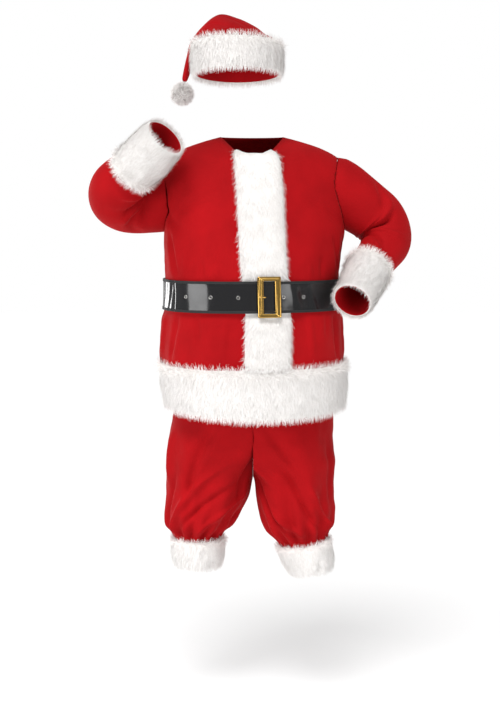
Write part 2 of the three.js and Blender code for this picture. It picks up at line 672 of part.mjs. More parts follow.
// ---------------------------------------------------------------- hat
function crown(u, v) {
  const row = rowAt(CROWN, 1 - v);
  const angle = radians(u);
  const middle = new THREE.Vector3((row.innerX + row.outerX) / 2, row.y, (row.innerZ + row.outerZ) / 2);
  const across = new THREE.Vector3((row.outerX - row.innerX) / 2, 0, (row.outerZ - row.innerZ) / 2);
  const front = row.depth * Math.cos(angle);
  const forward = new THREE.Vector3(0, -front, row.rise * front);
  return middle.addScaledVector(across, Math.sin(angle)).add(forward);
}
const HAT_ROUND = spread(22, 0, 360);
const BRIM_SHARE = 1 - 1 / (CROWN.length - 1);
const brimLevels = [0, 0.12, 0.5, 0.88, 1].map((t) => THREE.MathUtils.lerp(BRIM_SHARE, 1, t));
const crownLevels = [...spread(CROWN.length - 1), brimLevels[2]].sort((a, b) => a - b);
add('hat_crown', wall(crown, HAT_ROUND, crownLevels, -CLOTH / 2, CLOTH / 2, true), 'velour');

const brimPile = (u, v) => {
  const edge = Math.min(v - brimLevels[0], 1 - v);
  return onCloth + BRIM_FUR * (0.5 + 0.5 * smooth(0, 0.02, edge));
};
add('fur_hat_brim', wall(crown, HAT_ROUND, brimLevels, onCloth, brimPile, true), 'fur');

const ball = new THREE.IcosahedronGeometry(POMPOM.radius, 2).translate(POMPOM.x, POMPOM.y, POMPOM.z);
add('hat_pompom', shape(solid(ball)), 'fur');

export default group;
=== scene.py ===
"""A Santa suit as it is worn: fur-trimmed jacket, belt with buckle, gathered trousers and hat.

Shapes are worked out in millimetres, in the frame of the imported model, and made in metres. The
front faces -Y and the wearer's left is +X.
"""
import logging
import math
from dataclasses import dataclass, field
from enum import Enum
from typing import Callable, Sequence

import bmesh
import bpy
import numpy as np
from mathutils import Matrix, Vector


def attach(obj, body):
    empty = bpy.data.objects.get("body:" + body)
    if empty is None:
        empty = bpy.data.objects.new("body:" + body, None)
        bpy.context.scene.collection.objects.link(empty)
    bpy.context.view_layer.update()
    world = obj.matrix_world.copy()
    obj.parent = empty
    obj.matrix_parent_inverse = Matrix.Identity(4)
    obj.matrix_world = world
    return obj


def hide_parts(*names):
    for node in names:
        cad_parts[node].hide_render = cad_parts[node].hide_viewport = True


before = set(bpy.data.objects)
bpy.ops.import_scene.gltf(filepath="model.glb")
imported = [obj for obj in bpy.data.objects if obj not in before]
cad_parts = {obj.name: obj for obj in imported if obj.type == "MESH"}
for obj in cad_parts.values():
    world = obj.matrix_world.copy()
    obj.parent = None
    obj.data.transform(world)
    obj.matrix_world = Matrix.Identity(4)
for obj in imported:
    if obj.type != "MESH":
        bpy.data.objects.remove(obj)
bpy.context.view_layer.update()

LOG = logging.getLogger("santa_suit")
MM = 0.001

Array = np.ndarray
Surface = Callable[[Array, Array], Array]

CLOTH = 2.0  # wall of the velour
SEAM = 0.3
ON_CLOTH = CLOTH / 2 + SEAM
BODY = "root"


class Slot(Enum):
    """The record's material slots."""

    VELOUR = "red_velour"
    FUR = "white_fur"
    VINYL = "black_vinyl"
    BINDING = "black_binding"
    BRASS = "brass"
    STEEL = "steel"


# ------------------------------------------------------------------ tables and small maths
class Rows:
    """A short table of sections with named columns, read on a smooth curve through its rows."""

    def __init__(self, names: str, values: Sequence[Sequence[float]]) -> None:
        """Keep the table.

        Args:
            names: column names, parted by spaces.
            values: one row for each section.
        """
        self.names = names.split()
        self.data = np.array(values, float)

    def at(self, share: Array) -> dict[str, Array]:
        """Read every column.

        Args:
            share: how far down the rows, from 0 to 1.

        Returns:
            Column name to values, in the shape of share.
        """
        last = len(self.data) - 1
        place = np.clip(share, 0, 1) * last
        i = np.minimum(np.floor(place).astype(int), last - 1)
        t = (place - i)[..., None]
        p, q = self.data[np.maximum(i - 1, 0)], self.data[i]
        r, s = self.data[i + 1], self.data[np.minimum(i + 2, last)]
        lead, trail, rise = (r - p) / 2, (s - q) / 2, r - q
        found = q + t * (lead + t * (3 * rise - 2 * lead - trail + t * (lead + trail - 2 * rise)))
        return {name: found[..., k] for k, name in enumerate(self.names)}

    def share_of(self, name: str, value: Array) -> Array:
        """Find where a column that only rises or only falls reaches a value.

        Args:
            name: the column.
            value: the values to look for.

        Returns:
            How far down the rows each value lies, from 0 to 1.
        """
        shares = np.linspace(0, 1, 4001)
        column = self.at(shares)[name]
        if column[0] > column[-1]:
            return np.interp(value, column[::-1], shares[::-1])
        return np.interp(value, column, shares)

    def straight(self, key: str, name: str, value: Array) -> Array:
        """Read one column against another on straight lines between the rows.

        Args:
            key: the column to look in.
            name: the column to read.
            value: the values of the key.

        Returns:
            The read column at each value.
        """
        keys, column = self.data[:, self.names.index(key)], self.data[:, self.names.index(name)]
        order = np.argsort(keys)
        return np.interp(value, keys[order], column[order])


def smooth(low: float, high: float, x: Array) -> Array:
    """Rise softly from 0 at low to 1 at high."""
    t = np.clip((x - low) / (high - low), 0, 1)
    return t * t * (3 - 2 * t)


def hump(x: Array) -> Array:
    """A bell that is 1 in the middle."""
    return np.exp(-np.square(x))


def apart(a: Array, b: Array) -> Array:
    """How far angle a lies past angle b, from -180 to 180 degrees."""
    return np.mod(np.asarray(a) - b + 180, 360) - 180


def ripples(x: Array, y: Array, seed: int, size: float) -> Array:
    """Low random waves, about -1 to 1.

    Args:
        x: first coordinate.
        y: second coordinate.
        seed: fixes the waves.
        size: typical length of a wave, in the coordinates' unit.

    Returns:
        The height at each place.
    """
    rng = np.random.default_rng(seed)
    total = np.zeros(np.broadcast(x, y).shape)
    for _ in range(7):
        bearing, phase = rng.uniform(0, 2 * math.pi, 2)
        pace = 2 * math.pi / (size * rng.uniform(0.7, 1.8))
        total = total + np.sin(pace * (x * math.cos(bearing) + y * math.sin(bearing)) + phase)
    return total / 3.2


class Creases:
    """Soft troughs and ridges, each listed between two places on a form."""

    def __init__(self, values: Sequence[Sequence[float]], radius: float) -> None:
        """Keep the creases.

        Args:
            values: rows of start angle, start height, end angle, end height, how far it stands
                out (or in), half width and how far its middle bows aside.
            radius: the form's usual radius, to turn degrees into millimetres.
        """
        self.rows = np.array(values, float)
        self.radius = radius

    def out(self, angle: Array, height: Array) -> Array:
        """Return how far the form is moved out at each place.

        Args:
            angle: where round the form, in degrees.
            height: where along it.

        Returns:
            The move in millimetres, inwards where negative.
        """
        moved = np.zeros(np.broadcast(angle, height).shape)
        per_degree = math.radians(1) * self.radius
        for a0, h0, a1, h1, rise, wide, bow in self.rows:
            x, y = apart(angle, a0) * per_degree, height - h0
            x1, y1 = apart(a1, a0) * per_degree, h1 - h0
            length = math.hypot(x1, y1)
            t = (x * x1 + y * y1) / length**2
            aside = (x * y1 - y * x1) / length - bow * 4 * t * (1 - t)
            fade = smooth(-0.15, 0.3, t) * (1 - smooth(0.7, 1.15, t))
            moved = moved + rise * fade * hump(aside / wide)
        return moved


# ------------------------------------------------------------------ meshes
def lay_grid(surface: Surface, us: Array, vs: Array) -> Array:
    """Points of a surface on grid lines, as (v, u, 3)."""
    u, v = np.meshgrid(us, vs)
    return surface(u, v)


def normals_of(points: Array, closed: bool) -> Array:
    """Unit normals of a grid, pointing out where v runs down and u to the wearer's left.

    Args:
        points: a grid of places, in millimetres.
        closed: whether the last column meets the first.

    Returns:
        One unit normal for each place.
    """
    if closed:
        across = np.roll(points, -1, 1) - np.roll(points, 1, 1)
    else:
        across = np.gradient(points, axis=1)
    down = np.gradient(points, axis=0)
    normal = np.cross(down, across)
    return normal / np.maximum(np.linalg.norm(normal, axis=2, keepdims=True), 1e-9)


def make_object(name: str, points: Array, faces: Sequence[Sequence[int]]) -> bpy.types.Object:
    """Make a smooth-shaded mesh object at the origin from millimetre points.

    Args:
        name: the CAD node that the piece stands for.
        points: corners, in millimetres.
        faces: corner numbers of each face.

    Returns:
        The new object.
    """
    mesh = bpy.data.meshes.new(name)
    mesh.from_pydata((np.asarray(points) * MM).tolist(), [], [list(map(int, f)) for f in faces])
    mesh.validate()
    mesh.shade_smooth()
    item = bpy.data.objects.new(f"made_{name}", mesh)
    item["node"] = name
    bpy.context.scene.collection.objects.link(item)
    return item


def face_out(item: bpy.types.Object) -> None:
    """Turn a closed mesh's faces outwards.

    Args:
        item: the object, changed in place.
    """
    work = bmesh.new()
    work.from_mesh(item.data)
    if work.calc_volume(signed=True) < 0:
        bmesh.ops.reverse_faces(work, faces=work.faces)
    work.to_mesh(item.data)
    work.free()


def wall(name: str, surface: Surface, us: Array, vs: Array, inner: float, outer: float,
         closed: bool = False) -> bpy.types.Object:
    """A closed wall between two distances from a surface.

    Args:
        name: the object's name.
        surface: points in millimetres at (u, v).
        us: grid lines across; the last repeats the first where closed.
        vs: grid lines down.
        inner: distance of the inner face from the surface.
        outer: distance of the outer face.
        closed: whether the wall runs all round.

    Returns:
        The object, its faces pointing out.
    """
    lines = us[:-1] if closed else us
    points = lay_grid(surface, lines, vs)
    normal = normals_of(points, closed)
    rows, cols = points.shape[:2]
    both = np.concatenate([(points + normal * d).reshape(-1, 3) for d in (outer, inner)])
    index = np.arange(2 * rows * cols).reshape(2, rows, cols)
    if closed:
        index = np.concatenate([index, index[:, :, :1]], 2)
    quads = []
    for layer, flip in ((0, False), (1, True)):
        a, b = index[layer, :-1, :-1], index[layer, 1:, :-1]
        c, d = index[layer, 1:, 1:], index[layer, :-1, 1:]
        corners = (d, c, b, a) if flip else (a, b, c, d)
        quads.append(np.stack([q.ravel() for q in corners], 1))
    rims = [(index[0, 0], index[1, 0]), (index[1, -1], index[0, -1])]
    if not closed:
        rims += [(index[1, :, 0], index[0, :, 0]), (index[0, :, -1], index[1, :, -1])]
    for near, far in rims:
        quads.append(np.stack([near[:-1], near[1:], far[1:], far[:-1]], 1))
    item = make_object(name, both, np.concatenate(quads))
    face_out(item)
    return item


def filled(name: str, surface: Surface, us: Array, vs: Array, distance: float) -> bpy.types.Object:
    """A solid through closed sections, used to cut other pieces.

    Args:
        name: the object's name.
        surface: points in millimetres at (u, v).
        us: grid lines round; the last repeats the first.
        vs: grid lines along.
        distance: how far outside the surface the solid's skin lies.

    Returns:
        The object, its faces pointing out.
    """
    points = lay_grid(surface, us[:-1], vs)
    points = points + normals_of(points, True) * distance
    rows, cols = points.shape[:2]
    index = np.arange(rows * cols).reshape(rows, cols)
    index = np.concatenate([index, index[:, :1]], 1)
    quads = np.stack([q.ravel() for q in (index[:-1, :-1], index[1:, :-1], index[1:, 1:], index[:-1, 1:])], 1)
    faces = quads.tolist() + [index[0, :-1].tolist(), index[-1, :-1][::-1].tolist()]
    item = make_object(name, points.reshape(-1, 3), faces)
    face_out(item)
    return item


def cut(item: bpy.types.Object, *tools: bpy.types.Object) -> None:
    """Take solids away from a piece, leaving one plain mesh.

    Args:
        item: the piece, changed in place.
        *tools: the solids to take away.
    """
    for tool in tools:
        step = item.modifiers.new("cut", "BOOLEAN")
        step.operation = "DIFFERENCE"
        step.solver = "MANIFOLD"
        step.object = tool
        bake(item)


def bake(item: bpy.types.Object) -> None:
    """Turn a piece and its modifiers into a plain mesh.

    Args:
        item: the object, changed in place.
    """
    evaluated = item.evaluated_get(bpy.context.evaluated_depsgraph_get())
    mesh = bpy.data.meshes.new_from_object(evaluated)
    old = item.data
    item.modifiers.clear()
    item.data = mesh
    mesh.name = item.name
    bpy.data.meshes.remove(old)


def drop(*items: bpy.types.Object) -> None:
    """Remove helper objects."""
    for item in items:
        bpy.data.objects.remove(item)


def trim_to_side(item: bpy.types.Object, x: float, keep_left: bool) -> None:
    """Cut a piece at an upright plane and close the cut.

    Args:
        item: the piece.
        x: where the plane stands, in millimetres.
        keep_left: keep what lies towards +X, the wearer's left.
    """
    work = bmesh.new()
    work.from_mesh(item.data)
    cutting = bmesh.ops.bisect_plane(
        work, geom=work.verts[:] + work.edges[:] + work.faces[:], plane_co=(x * MM, 0, 0),
        plane_no=(1, 0, 0), clear_inner=keep_left, clear_outer=not keep_left)
    edges = [e for e in cutting["geom_cut"] if isinstance(e, bmesh.types.BMEdge)]
    bmesh.ops.holes_fill(work, edges=edges)
    work.to_mesh(item.data)
    work.free()
    item.data.shade_smooth()


def lines_between(low: float, high: float, count: int, edge: Sequence[float] = ()) -> Array:
    """Grid lines from low to high, with closer ones at each end.

    Args:
        low: first line.
        high: last line.
        count: how many even steps.
        edge: extra distances in from both ends.

    Returns:
        The lines in order.
    """
    extra = [low + e for e in edge] + [high - e for e in edge]
    return np.unique(np.concatenate([np.linspace(low, high, count + 1), extra]))


def dress(piece: bpy.types.Object, material: bpy.types.Material) -> None:
    """Give a piece its material and body, and let it stand for its CAD node.

    Args:
        piece: the finished mesh.
        material: its finish, unless it has one already.
    """
    if not any(piece.data.materials):
        piece.data.materials.clear()
        piece.data.materials.append(material)
    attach(piece, BODY)
    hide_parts(piece["node"])
    LOG.info("%s: %d faces", piece.name, len(piece.data.polygons))


# ------------------------------------------------------------------ finishes
def new_group(name: str, inputs: dict[str, float], outputs: Sequence[str]) -> bpy.types.NodeTree:
    """Start a shader node group with named float sockets.

    Args:
        name: the group's name.
        inputs: input names and their default values.
        outputs: output names.

    Returns:
        The group, with its two end nodes.
    """
    tree = bpy.data.node_groups.new(name, "ShaderNodeTree")
    for label, value in inputs.items():
        socket = tree.interface.new_socket(label, in_out="INPUT", socket_type="NodeSocketFloat")
        socket.default_value = value
    for label in outputs:
        tree.interface.new_socket(label, in_out="OUTPUT", socket_type="NodeSocketFloat")
    tree.nodes.new("NodeGroupInput")
    tree.nodes.new("NodeGroupOutput")
    return tree


def nap_group() -> bpy.types.NodeTree:
    """Brushed pile: large brushed patches and a fine grain, in the piece's own space.

    Returns:
        The group, which is built only once.
    """
    tree = bpy.data.node_groups.get("brushed_nap")
    if tree:
        return tree
    tree = new_group("brushed_nap", {"Patch Scale": 14, "Grain Scale": 700}, ("Patch", "Grain"))
    nodes, links = tree.nodes, tree.links
    source, sink = nodes["Group Input"], nodes["Group Output"]
    place = nodes.new("ShaderNodeTexCoord")
    for socket, scale, detail in (("Patch", "Patch Scale", 4), ("Grain", "Grain Scale", 2)):
        noise = nodes.new("ShaderNodeTexNoise")
        noise.inputs["Detail"].default_value = detail
        links.new(place.outputs["Object"], noise.inputs["Vector"])
        links.new(source.outputs[scale], noise.inputs["Scale"])
        links.new(noise.outputs["Fac"], sink.inputs[socket])
    return tree


@dataclass(frozen=True)
class Finish:
    """What every finish starts from: a Principled shader in a fresh material."""

    name: str
    color: tuple[float, float, float]
    roughness: float = 0.5
    metallic: float = 0.0
    bump: float = 0.1
    bump_distance: float = 0.0005

    def start(self) -> tuple[bpy.types.Material, bpy.types.Node]:
        """Make the material and return it with its shader.

        Returns:
            The material and its shader node.
        """
        material = bpy.data.materials.new(self.name)
        material.use_nodes = True
        shader = material.node_tree.nodes["Principled BSDF"]
        shader.inputs["Base Color"].default_value = (*self.color, 1)
        shader.inputs["Roughness"].default_value = self.roughness
        shader.inputs["Metallic"].default_value = self.metallic
        return material, shader

    def nap(self, material: bpy.types.Material, patch: float, grain: float) -> bpy.types.Node:
        """Place the brushed nap group in a material.

        Args:
            material: the material.
            patch: scale of the brushed patches.
            grain: scale of the grain.

        Returns:
            The group node.
        """
        group = material.node_tree.nodes.new("ShaderNodeGroup")
        group.node_tree = nap_group()
        group.inputs["Patch Scale"].default_value = patch
        group.inputs["Grain Scale"].default_value = grain
        return group

    def add_bump(self, material: bpy.types.Material, height: bpy.types.NodeSocket,
                 shader: bpy.types.Node) -> None:
        """Feed a height into the shader's normal.

        Args:
            material: the material.
            height: the socket that gives the height.
            shader: the node whose normal is set.
        """
        node = material.node_tree.nodes.new("ShaderNodeBump")
        node.inputs["Strength"].default_value = self.bump
        node.inputs["Distance"].default_value = self.bump_distance
        material.node_tree.links.new(height, node.inputs["Height"])
        material.node_tree.links.new(node.outputs["Normal"], shader.inputs["Normal"])

    def tint(self, material: bpy.types.Material, amount: bpy.types.NodeSocket,
             dark: Sequence[float], light: Sequence[float], low: float = 0.3,
             high: float = 0.7) -> bpy.types.NodeSocket:
        """Blend two colours by a value.

        Args:
            material: where the ramp goes.
            amount: the value that picks the colour.
            dark: colour at low.
            light: colour at high.
            low: value for dark.
            high: value for light.

        Returns:
            The colour socket.
        """
        ramp = material.node_tree.nodes.new("ShaderNodeValToRGB")
        ramp.color_ramp.elements[0].position = low
        ramp.color_ramp.elements[1].position = high
        ramp.color_ramp.elements[0].color = (*dark, 1)
        ramp.color_ramp.elements[1].color = (*light, 1)
        material.node_tree.links.new(amount, ramp.inputs["Fac"])
        return ramp.outputs["Color"]


@dataclass(frozen=True)
class Velour(Finish):
    """Short brushed red pile with a soft sheen."""

    sheen: float = 0.14
    dark_share: float = 0.82

    def material(self) -> bpy.types.Material:
        """Build the material.

        Returns:
            The finished material.
        """
        material, shader = self.start()
        shader.inputs["Sheen Weight"].default_value = self.sheen
        shader.inputs["Sheen Roughness"].default_value = 0.45
        shader.inputs["Sheen Tint"].default_value = (1.0, 0.1, 0.09, 1)
        shader.inputs["Specular IOR Level"].default_value = 0.08
        nap = self.nap(material, 11, 650)
        dark = [c * self.dark_share for c in self.color]
        color = self.tint(material, nap.outputs["Patch"], dark, self.color)
        material.node_tree.links.new(color, shader.inputs["Base Color"])
        self.add_bump(material, nap.outputs["Grain"], shader)
        return material


@dataclass(frozen=True)
class FurStrand(Finish):
    """White strands, each with its own tint, painted a little greyer at the root as shade deep in the pile.
    """

    # painted shade: the strands' colour at the root, greyer to stand for the shade deep in the pile
    root: tuple[float, float, float] = (0.84, 0.81, 0.79)

    def material(self) -> bpy.types.Material:
        """Build the material.

        Returns:
            The finished material.
        """
        material, shader = self.start()
        shader.inputs["Specular IOR Level"].default_value = 0.25
        shader.inputs["Sheen Weight"].default_value = 0.2
        nodes, links = material.node_tree.nodes, material.node_tree.links
        along = nodes.new("ShaderNodeAttribute")
        along.attribute_name = "along"
        tint = nodes.new("ShaderNodeAttribute")
        tint.attribute_name = "tint"
        # painted shade: each strand darkens from its tip to its root
        color = self.tint(material, along.outputs["Fac"], self.root, self.color, 0.0, 0.75)
        shade = nodes.new("ShaderNodeMix")
        shade.data_type = "RGBA"
        shade.blend_type = "MULTIPLY"
        shade.inputs["Factor"].default_value = 1.0
        grey = self.tint(material, tint.outputs["Fac"], (0.9, 0.89, 0.88), (1, 1, 1), 0, 1)
        links.new(color, shade.inputs["A"])
        links.new(grey, shade.inputs["B"])
        links.new(shade.outputs["Result"], shader.inputs["Base Color"])
        return material


@dataclass(frozen=True)
class FurGround(Finish):
    """The ground of the pile between the strands, coloured greyer than the strands as painted shade of the
    pile's depth.
    """

    def material(self) -> bpy.types.Material:
        """Build the material.

        Returns:
            The finished material.
        """
        material, shader = self.start()
        nap = self.nap(material, 60, 420)
        color = self.tint(material, nap.outputs["Patch"], [c * 0.86 for c in self.color], self.color)
        material.node_tree.links.new(color, shader.inputs["Base Color"])
        self.add_bump(material, nap.outputs["Grain"], shader)
        return material


@dataclass(frozen=True)
class Vinyl(Finish):
    """Black patent vinyl with faint ripples in its gloss."""

    def material(self) -> bpy.types.Material:
        """Build the material.

        Returns:
            The finished material.
        """
        material, shader = self.start()
        shader.inputs["Specular IOR Level"].default_value = 0.3
        shader.inputs["Coat Weight"].default_value = 0.5
        shader.inputs["Coat Roughness"].default_value = 0.1
        nap = self.nap(material, 26, 240)
        rough = material.node_tree.nodes.new("ShaderNodeMapRange")
        rough.inputs["To Min"].default_value = self.roughness * 0.7
        rough.inputs["To Max"].default_value = self.roughness * 1.5
        material.node_tree.links.new(nap.outputs["Patch"], rough.inputs["Value"])
        material.node_tree.links.new(rough.outputs["Result"], shader.inputs["Roughness"])
        self.add_bump(material, nap.outputs["Patch"], shader)
        return material


@dataclass(frozen=True)
class Tape(Finish):
    """Matt woven binding tape."""

    def material(self) -> bpy.types.Material:
        """Build the material.

        Returns:
            The finished material.
        """
        material, shader = self.start()
        nap = self.nap(material, 90, 1300)
        color = self.tint(material, nap.outputs["Patch"], [c * 0.6 for c in self.color], self.color)
        material.node_tree.links.new(color, shader.inputs["Base Color"])
        self.add_bump(material, nap.outputs["Grain"], shader)
        return material


@dataclass(frozen=True)
class Metal(Finish):
    """Plated metal with faint handling wear."""

    def material(self) -> bpy.types.Material:
        """Build the material.

        Returns:
            The finished material.
        """
        material, shader = self.start()
        nap = self.nap(material, 120, 900)
        color = self.tint(material, nap.outputs["Patch"], [c * 0.8 for c in self.color], self.color)
        rough = material.node_tree.nodes.new("ShaderNodeMapRange")
        rough.inputs["To Min"].default_value = self.roughness * 0.7
        rough.inputs["To Max"].default_value = self.roughness * 1.6
        material.node_tree.links.new(color, shader.inputs["Base Color"])
        material.node_tree.links.new(nap.outputs["Patch"], rough.inputs["Value"])
        material.node_tree.links.new(rough.outputs["Result"], shader.inputs["Roughness"])
        self.add_bump(material, nap.outputs["Grain"], shader)
        return material


class Wardrobe:
    """Every material of the suit, made once."""

    def __init__(self) -> None:
        """Build the materials."""
        self.velour = Velour("red_velour", (0.375, 0.0035, 0.0062), 0.8, bump=0.35).material()
        self.strand = FurStrand("white_fur_strand", (0.96, 0.95, 0.94), 0.75).material()
        # painted shade: the fur ground is greyer than the strands to stand for the shade in the pile's depth
        self.ground = FurGround("white_fur_ground", (0.9, 0.88, 0.86), 0.95, bump=0.6,
                                bump_distance=0.003).material()
        self.vinyl = Vinyl("black_patent_vinyl", (0.008, 0.008, 0.009), 0.14, bump=0.25,
                           bump_distance=0.002).material()
        self.tape = Tape("black_binding_tape", (0.009, 0.009, 0.01), 0.75, bump=0.4).material()
        self.thread = Tape("black_thread", (0.016, 0.016, 0.017), 0.5, bump=0.2).material()
        self.brass = Metal("polished_brass", (0.52, 0.32, 0.085), 0.12, 1.0, bump=0.05).material()
        self.steel = Metal("nickel_eyelet", (0.62, 0.61, 0.59), 0.22, 1.0, bump=0.05).material()


# ------------------------------------------------------------------ fur
@dataclass(frozen=True)
class Fur:
    """Long pile grown by Geometry Nodes on a ground surface."""

    wardrobe: Wardrobe
    length: float = 19.0
    width: float = 1.25
    per_cm2: float = 18.0
    lift: float = 0.36
    jitter: float = 0.3
    clump_scale: float = 85.0
    clump: float = 0.6

    def tree(self) -> bpy.types.NodeTree:
        """Build the strand tree once, with named inputs for its sizes.

        Returns:
            The strand tree.
        """
        tree = bpy.data.node_groups.get("fur_strands")
        if tree:
            return tree
        tree = bpy.data.node_groups.new("fur_strands", "GeometryNodeTree")
        face = tree.interface
        face.new_socket("Ground", in_out="INPUT", socket_type="NodeSocketGeometry")
        for label in ("Length", "Width", "Density", "Lift", "Jitter", "Clump Scale", "Clump"):
            face.new_socket(label, in_out="INPUT", socket_type="NodeSocketFloat")
        face.new_socket("Seed", in_out="INPUT", socket_type="NodeSocketInt")
        face.new_socket("Fur", in_out="OUTPUT", socket_type="NodeSocketGeometry")
        nodes, links = tree.nodes, tree.links
        source, sink = nodes.new("NodeGroupInput"), nodes.new("NodeGroupOutput")

        def add(kind: str, **settings: object) -> bpy.types.Node:
            """Add a node with its settings.

            Args:
                kind: the node's type.
                **settings: its properties.

            Returns:
                The node.
            """
            node = nodes.new(kind)
            for key, value in settings.items():
                setattr(node, key, value)
            return node

        def math_node(operation: str, a: object, b: object) -> bpy.types.NodeSocket:
            """Join two values by one sum.

            Args:
                operation: the sum.
                a: a value or a socket.
                b: a value or a socket.

            Returns:
                The result's socket.
            """
            node = add("ShaderNodeMath", operation=operation)
            for slot, value in ((0, a), (1, b)):
                if isinstance(value, bpy.types.NodeSocket):
                    links.new(value, node.inputs[slot])
                else:
                    node.inputs[slot].default_value = value
            return node.outputs[0]

        def vector_node(operation: str, a: object, b: object = None,
                        scale: object = None) -> bpy.types.NodeSocket:
            """Join two vectors by one step.

            Args:
                operation: the step.
                a: a vector or a socket.
                b: a vector or a socket, where it has one.
                scale: a value or a socket, where it has one.

            Returns:
                The result's socket.
            """
            node = add("ShaderNodeVectorMath", operation=operation)
            for slot, value in ((0, a), (1, b)):
                if isinstance(value, bpy.types.NodeSocket):
                    links.new(value, node.inputs[slot])
                elif value is not None:
                    node.inputs[slot].default_value = value
            if isinstance(scale, bpy.types.NodeSocket):
                links.new(scale, node.inputs["Scale"])
            elif scale is not None:
                node.inputs["Scale"].default_value = scale
            return node.outputs[0]

        # one strand: a narrow blade, one unit long, that tapers and bows over
        blade = add("GeometryNodeMeshGrid")
        for label, value in (("Size X", 1.0), ("Size Y", 1.0), ("Vertices X", 2), ("Vertices Y", 3)):
            blade.inputs[label].default_value = value
        place = add("GeometryNodeInputPosition")
        split = add("ShaderNodeSeparateXYZ")
        links.new(place.outputs[0], split.inputs[0])
        along = math_node("ADD", split.outputs["Y"], 0.5)
        narrow = math_node("SUBTRACT", 1.0, math_node("MULTIPLY", along, 0.82))
        bow = math_node("MULTIPLY", math_node("MULTIPLY", along, along), -0.22)
        shape = add("ShaderNodeCombineXYZ")
        links.new(math_node("MULTIPLY", split.outputs["X"], narrow), shape.inputs[0])
        links.new(bow, shape.inputs[1])
        links.new(along, shape.inputs[2])
        mark = add("GeometryNodeStoreNamedAttribute", data_type="FLOAT", domain="POINT")
        mark.inputs["Name"].default_value = "along"
        links.new(blade.outputs["Mesh"], mark.inputs["Geometry"])
        links.new(along, mark.inputs["Value"])
        bend = add("GeometryNodeSetPosition")
        links.new(mark.outputs["Geometry"], bend.inputs["Geometry"])
        links.new(shape.outputs[0], bend.inputs["Position"])

        # roots, thinned by the ground's own pile share
        roots = add("GeometryNodeDistributePointsOnFaces", distribute_method="RANDOM")
        pile = add("GeometryNodeInputNamedAttribute", data_type="FLOAT")
        pile.inputs["Name"].default_value = "pile"
        links.new(source.outputs["Ground"], roots.inputs["Mesh"])
        links.new(math_node("MULTIPLY", source.outputs["Density"], pile.outputs["Attribute"]),
                  roots.inputs["Density"])
        links.new(source.outputs["Seed"], roots.inputs["Seed"])

        # direction: combed along the cloth, lifted, drawn into clumps and a little untidy
        comb = add("GeometryNodeInputNamedAttribute", data_type="FLOAT_VECTOR")
        comb.inputs["Name"].default_value = "comb"
        untidy = add("FunctionNodeRandomValue", data_type="FLOAT_VECTOR")
        untidy.inputs[0].default_value = (-1, -1, -1)
        untidy.inputs[1].default_value = (1, 1, 1)
        links.new(source.outputs["Seed"], untidy.inputs["Seed"])
        locks = add("ShaderNodeTexNoise")
        locks.inputs["Detail"].default_value = 1.0
        links.new(source.outputs["Clump Scale"], locks.inputs["Scale"])
        centred = vector_node("SUBTRACT", locks.outputs["Color"], (0.5, 0.5, 0.5))
        lean = vector_node("ADD", comb.outputs["Attribute"],
                           vector_node("SCALE", roots.outputs["Normal"], scale=source.outputs["Lift"]))
        lean = vector_node("ADD", lean, vector_node("SCALE", centred, scale=source.outputs["Clump"]))
        lean = vector_node("ADD", lean,
                           vector_node("SCALE", untidy.outputs[0], scale=source.outputs["Jitter"]))
        aim = add("FunctionNodeAlignRotationToVector", axis="Z")
        links.new(lean, aim.inputs["Vector"])
        face_up = add("FunctionNodeAlignRotationToVector", axis="Y", pivot_axis="Z")
        links.new(aim.outputs[0], face_up.inputs["Rotation"])
        links.new(roots.outputs["Normal"], face_up.inputs["Vector"])

        # size: every strand differs a little
        uneven = add("FunctionNodeRandomValue", data_type="FLOAT")
        uneven.inputs[2].default_value = 0.6
        uneven.inputs[3].default_value = 1.1
        links.new(math_node("ADD", source.outputs["Seed"], 7), uneven.inputs["Seed"])
        long = math_node("MULTIPLY", source.outputs["Length"], uneven.outputs[1])
        size = add("ShaderNodeCombineXYZ")
        links.new(source.outputs["Width"], size.inputs[0])
        links.new(long, size.inputs[1])
        links.new(long, size.inputs[2])
        grow = add("GeometryNodeInstanceOnPoints")
        links.new(roots.outputs["Points"], grow.inputs["Points"])
        links.new(bend.outputs["Geometry"], grow.inputs["Instance"])
        links.new(face_up.outputs[0], grow.inputs["Rotation"])
        links.new(size.outputs[0], grow.inputs["Scale"])
        shade = add("FunctionNodeRandomValue", data_type="FLOAT")
        links.new(math_node("ADD", source.outputs["Seed"], 13), shade.inputs["Seed"])
        tint = add("GeometryNodeStoreNamedAttribute", data_type="FLOAT", domain="INSTANCE")
        tint.inputs["Name"].default_value = "tint"
        links.new(grow.outputs["Instances"], tint.inputs["Geometry"])
        links.new(shade.outputs[1], tint.inputs["Value"])

        real = add("GeometryNodeRealizeInstances")
        links.new(tint.outputs["Geometry"], real.inputs["Geometry"])
        strands = add("GeometryNodeSetMaterial")
        strands.inputs["Material"].default_value = self.wardrobe.strand
        links.new(real.outputs["Geometry"], strands.inputs["Geometry"])
        ground = add("GeometryNodeSetMaterial")
        ground.inputs["Material"].default_value = self.wardrobe.ground
        links.new(source.outputs["Ground"], ground.inputs["Geometry"])
        join = add("GeometryNodeJoinGeometry")
        links.new(strands.outputs["Geometry"], join.inputs["Geometry"])
        links.new(ground.outputs["Geometry"], join.inputs["Geometry"])
        links.new(join.outputs["Geometry"], sink.inputs["Fur"])
        return tree

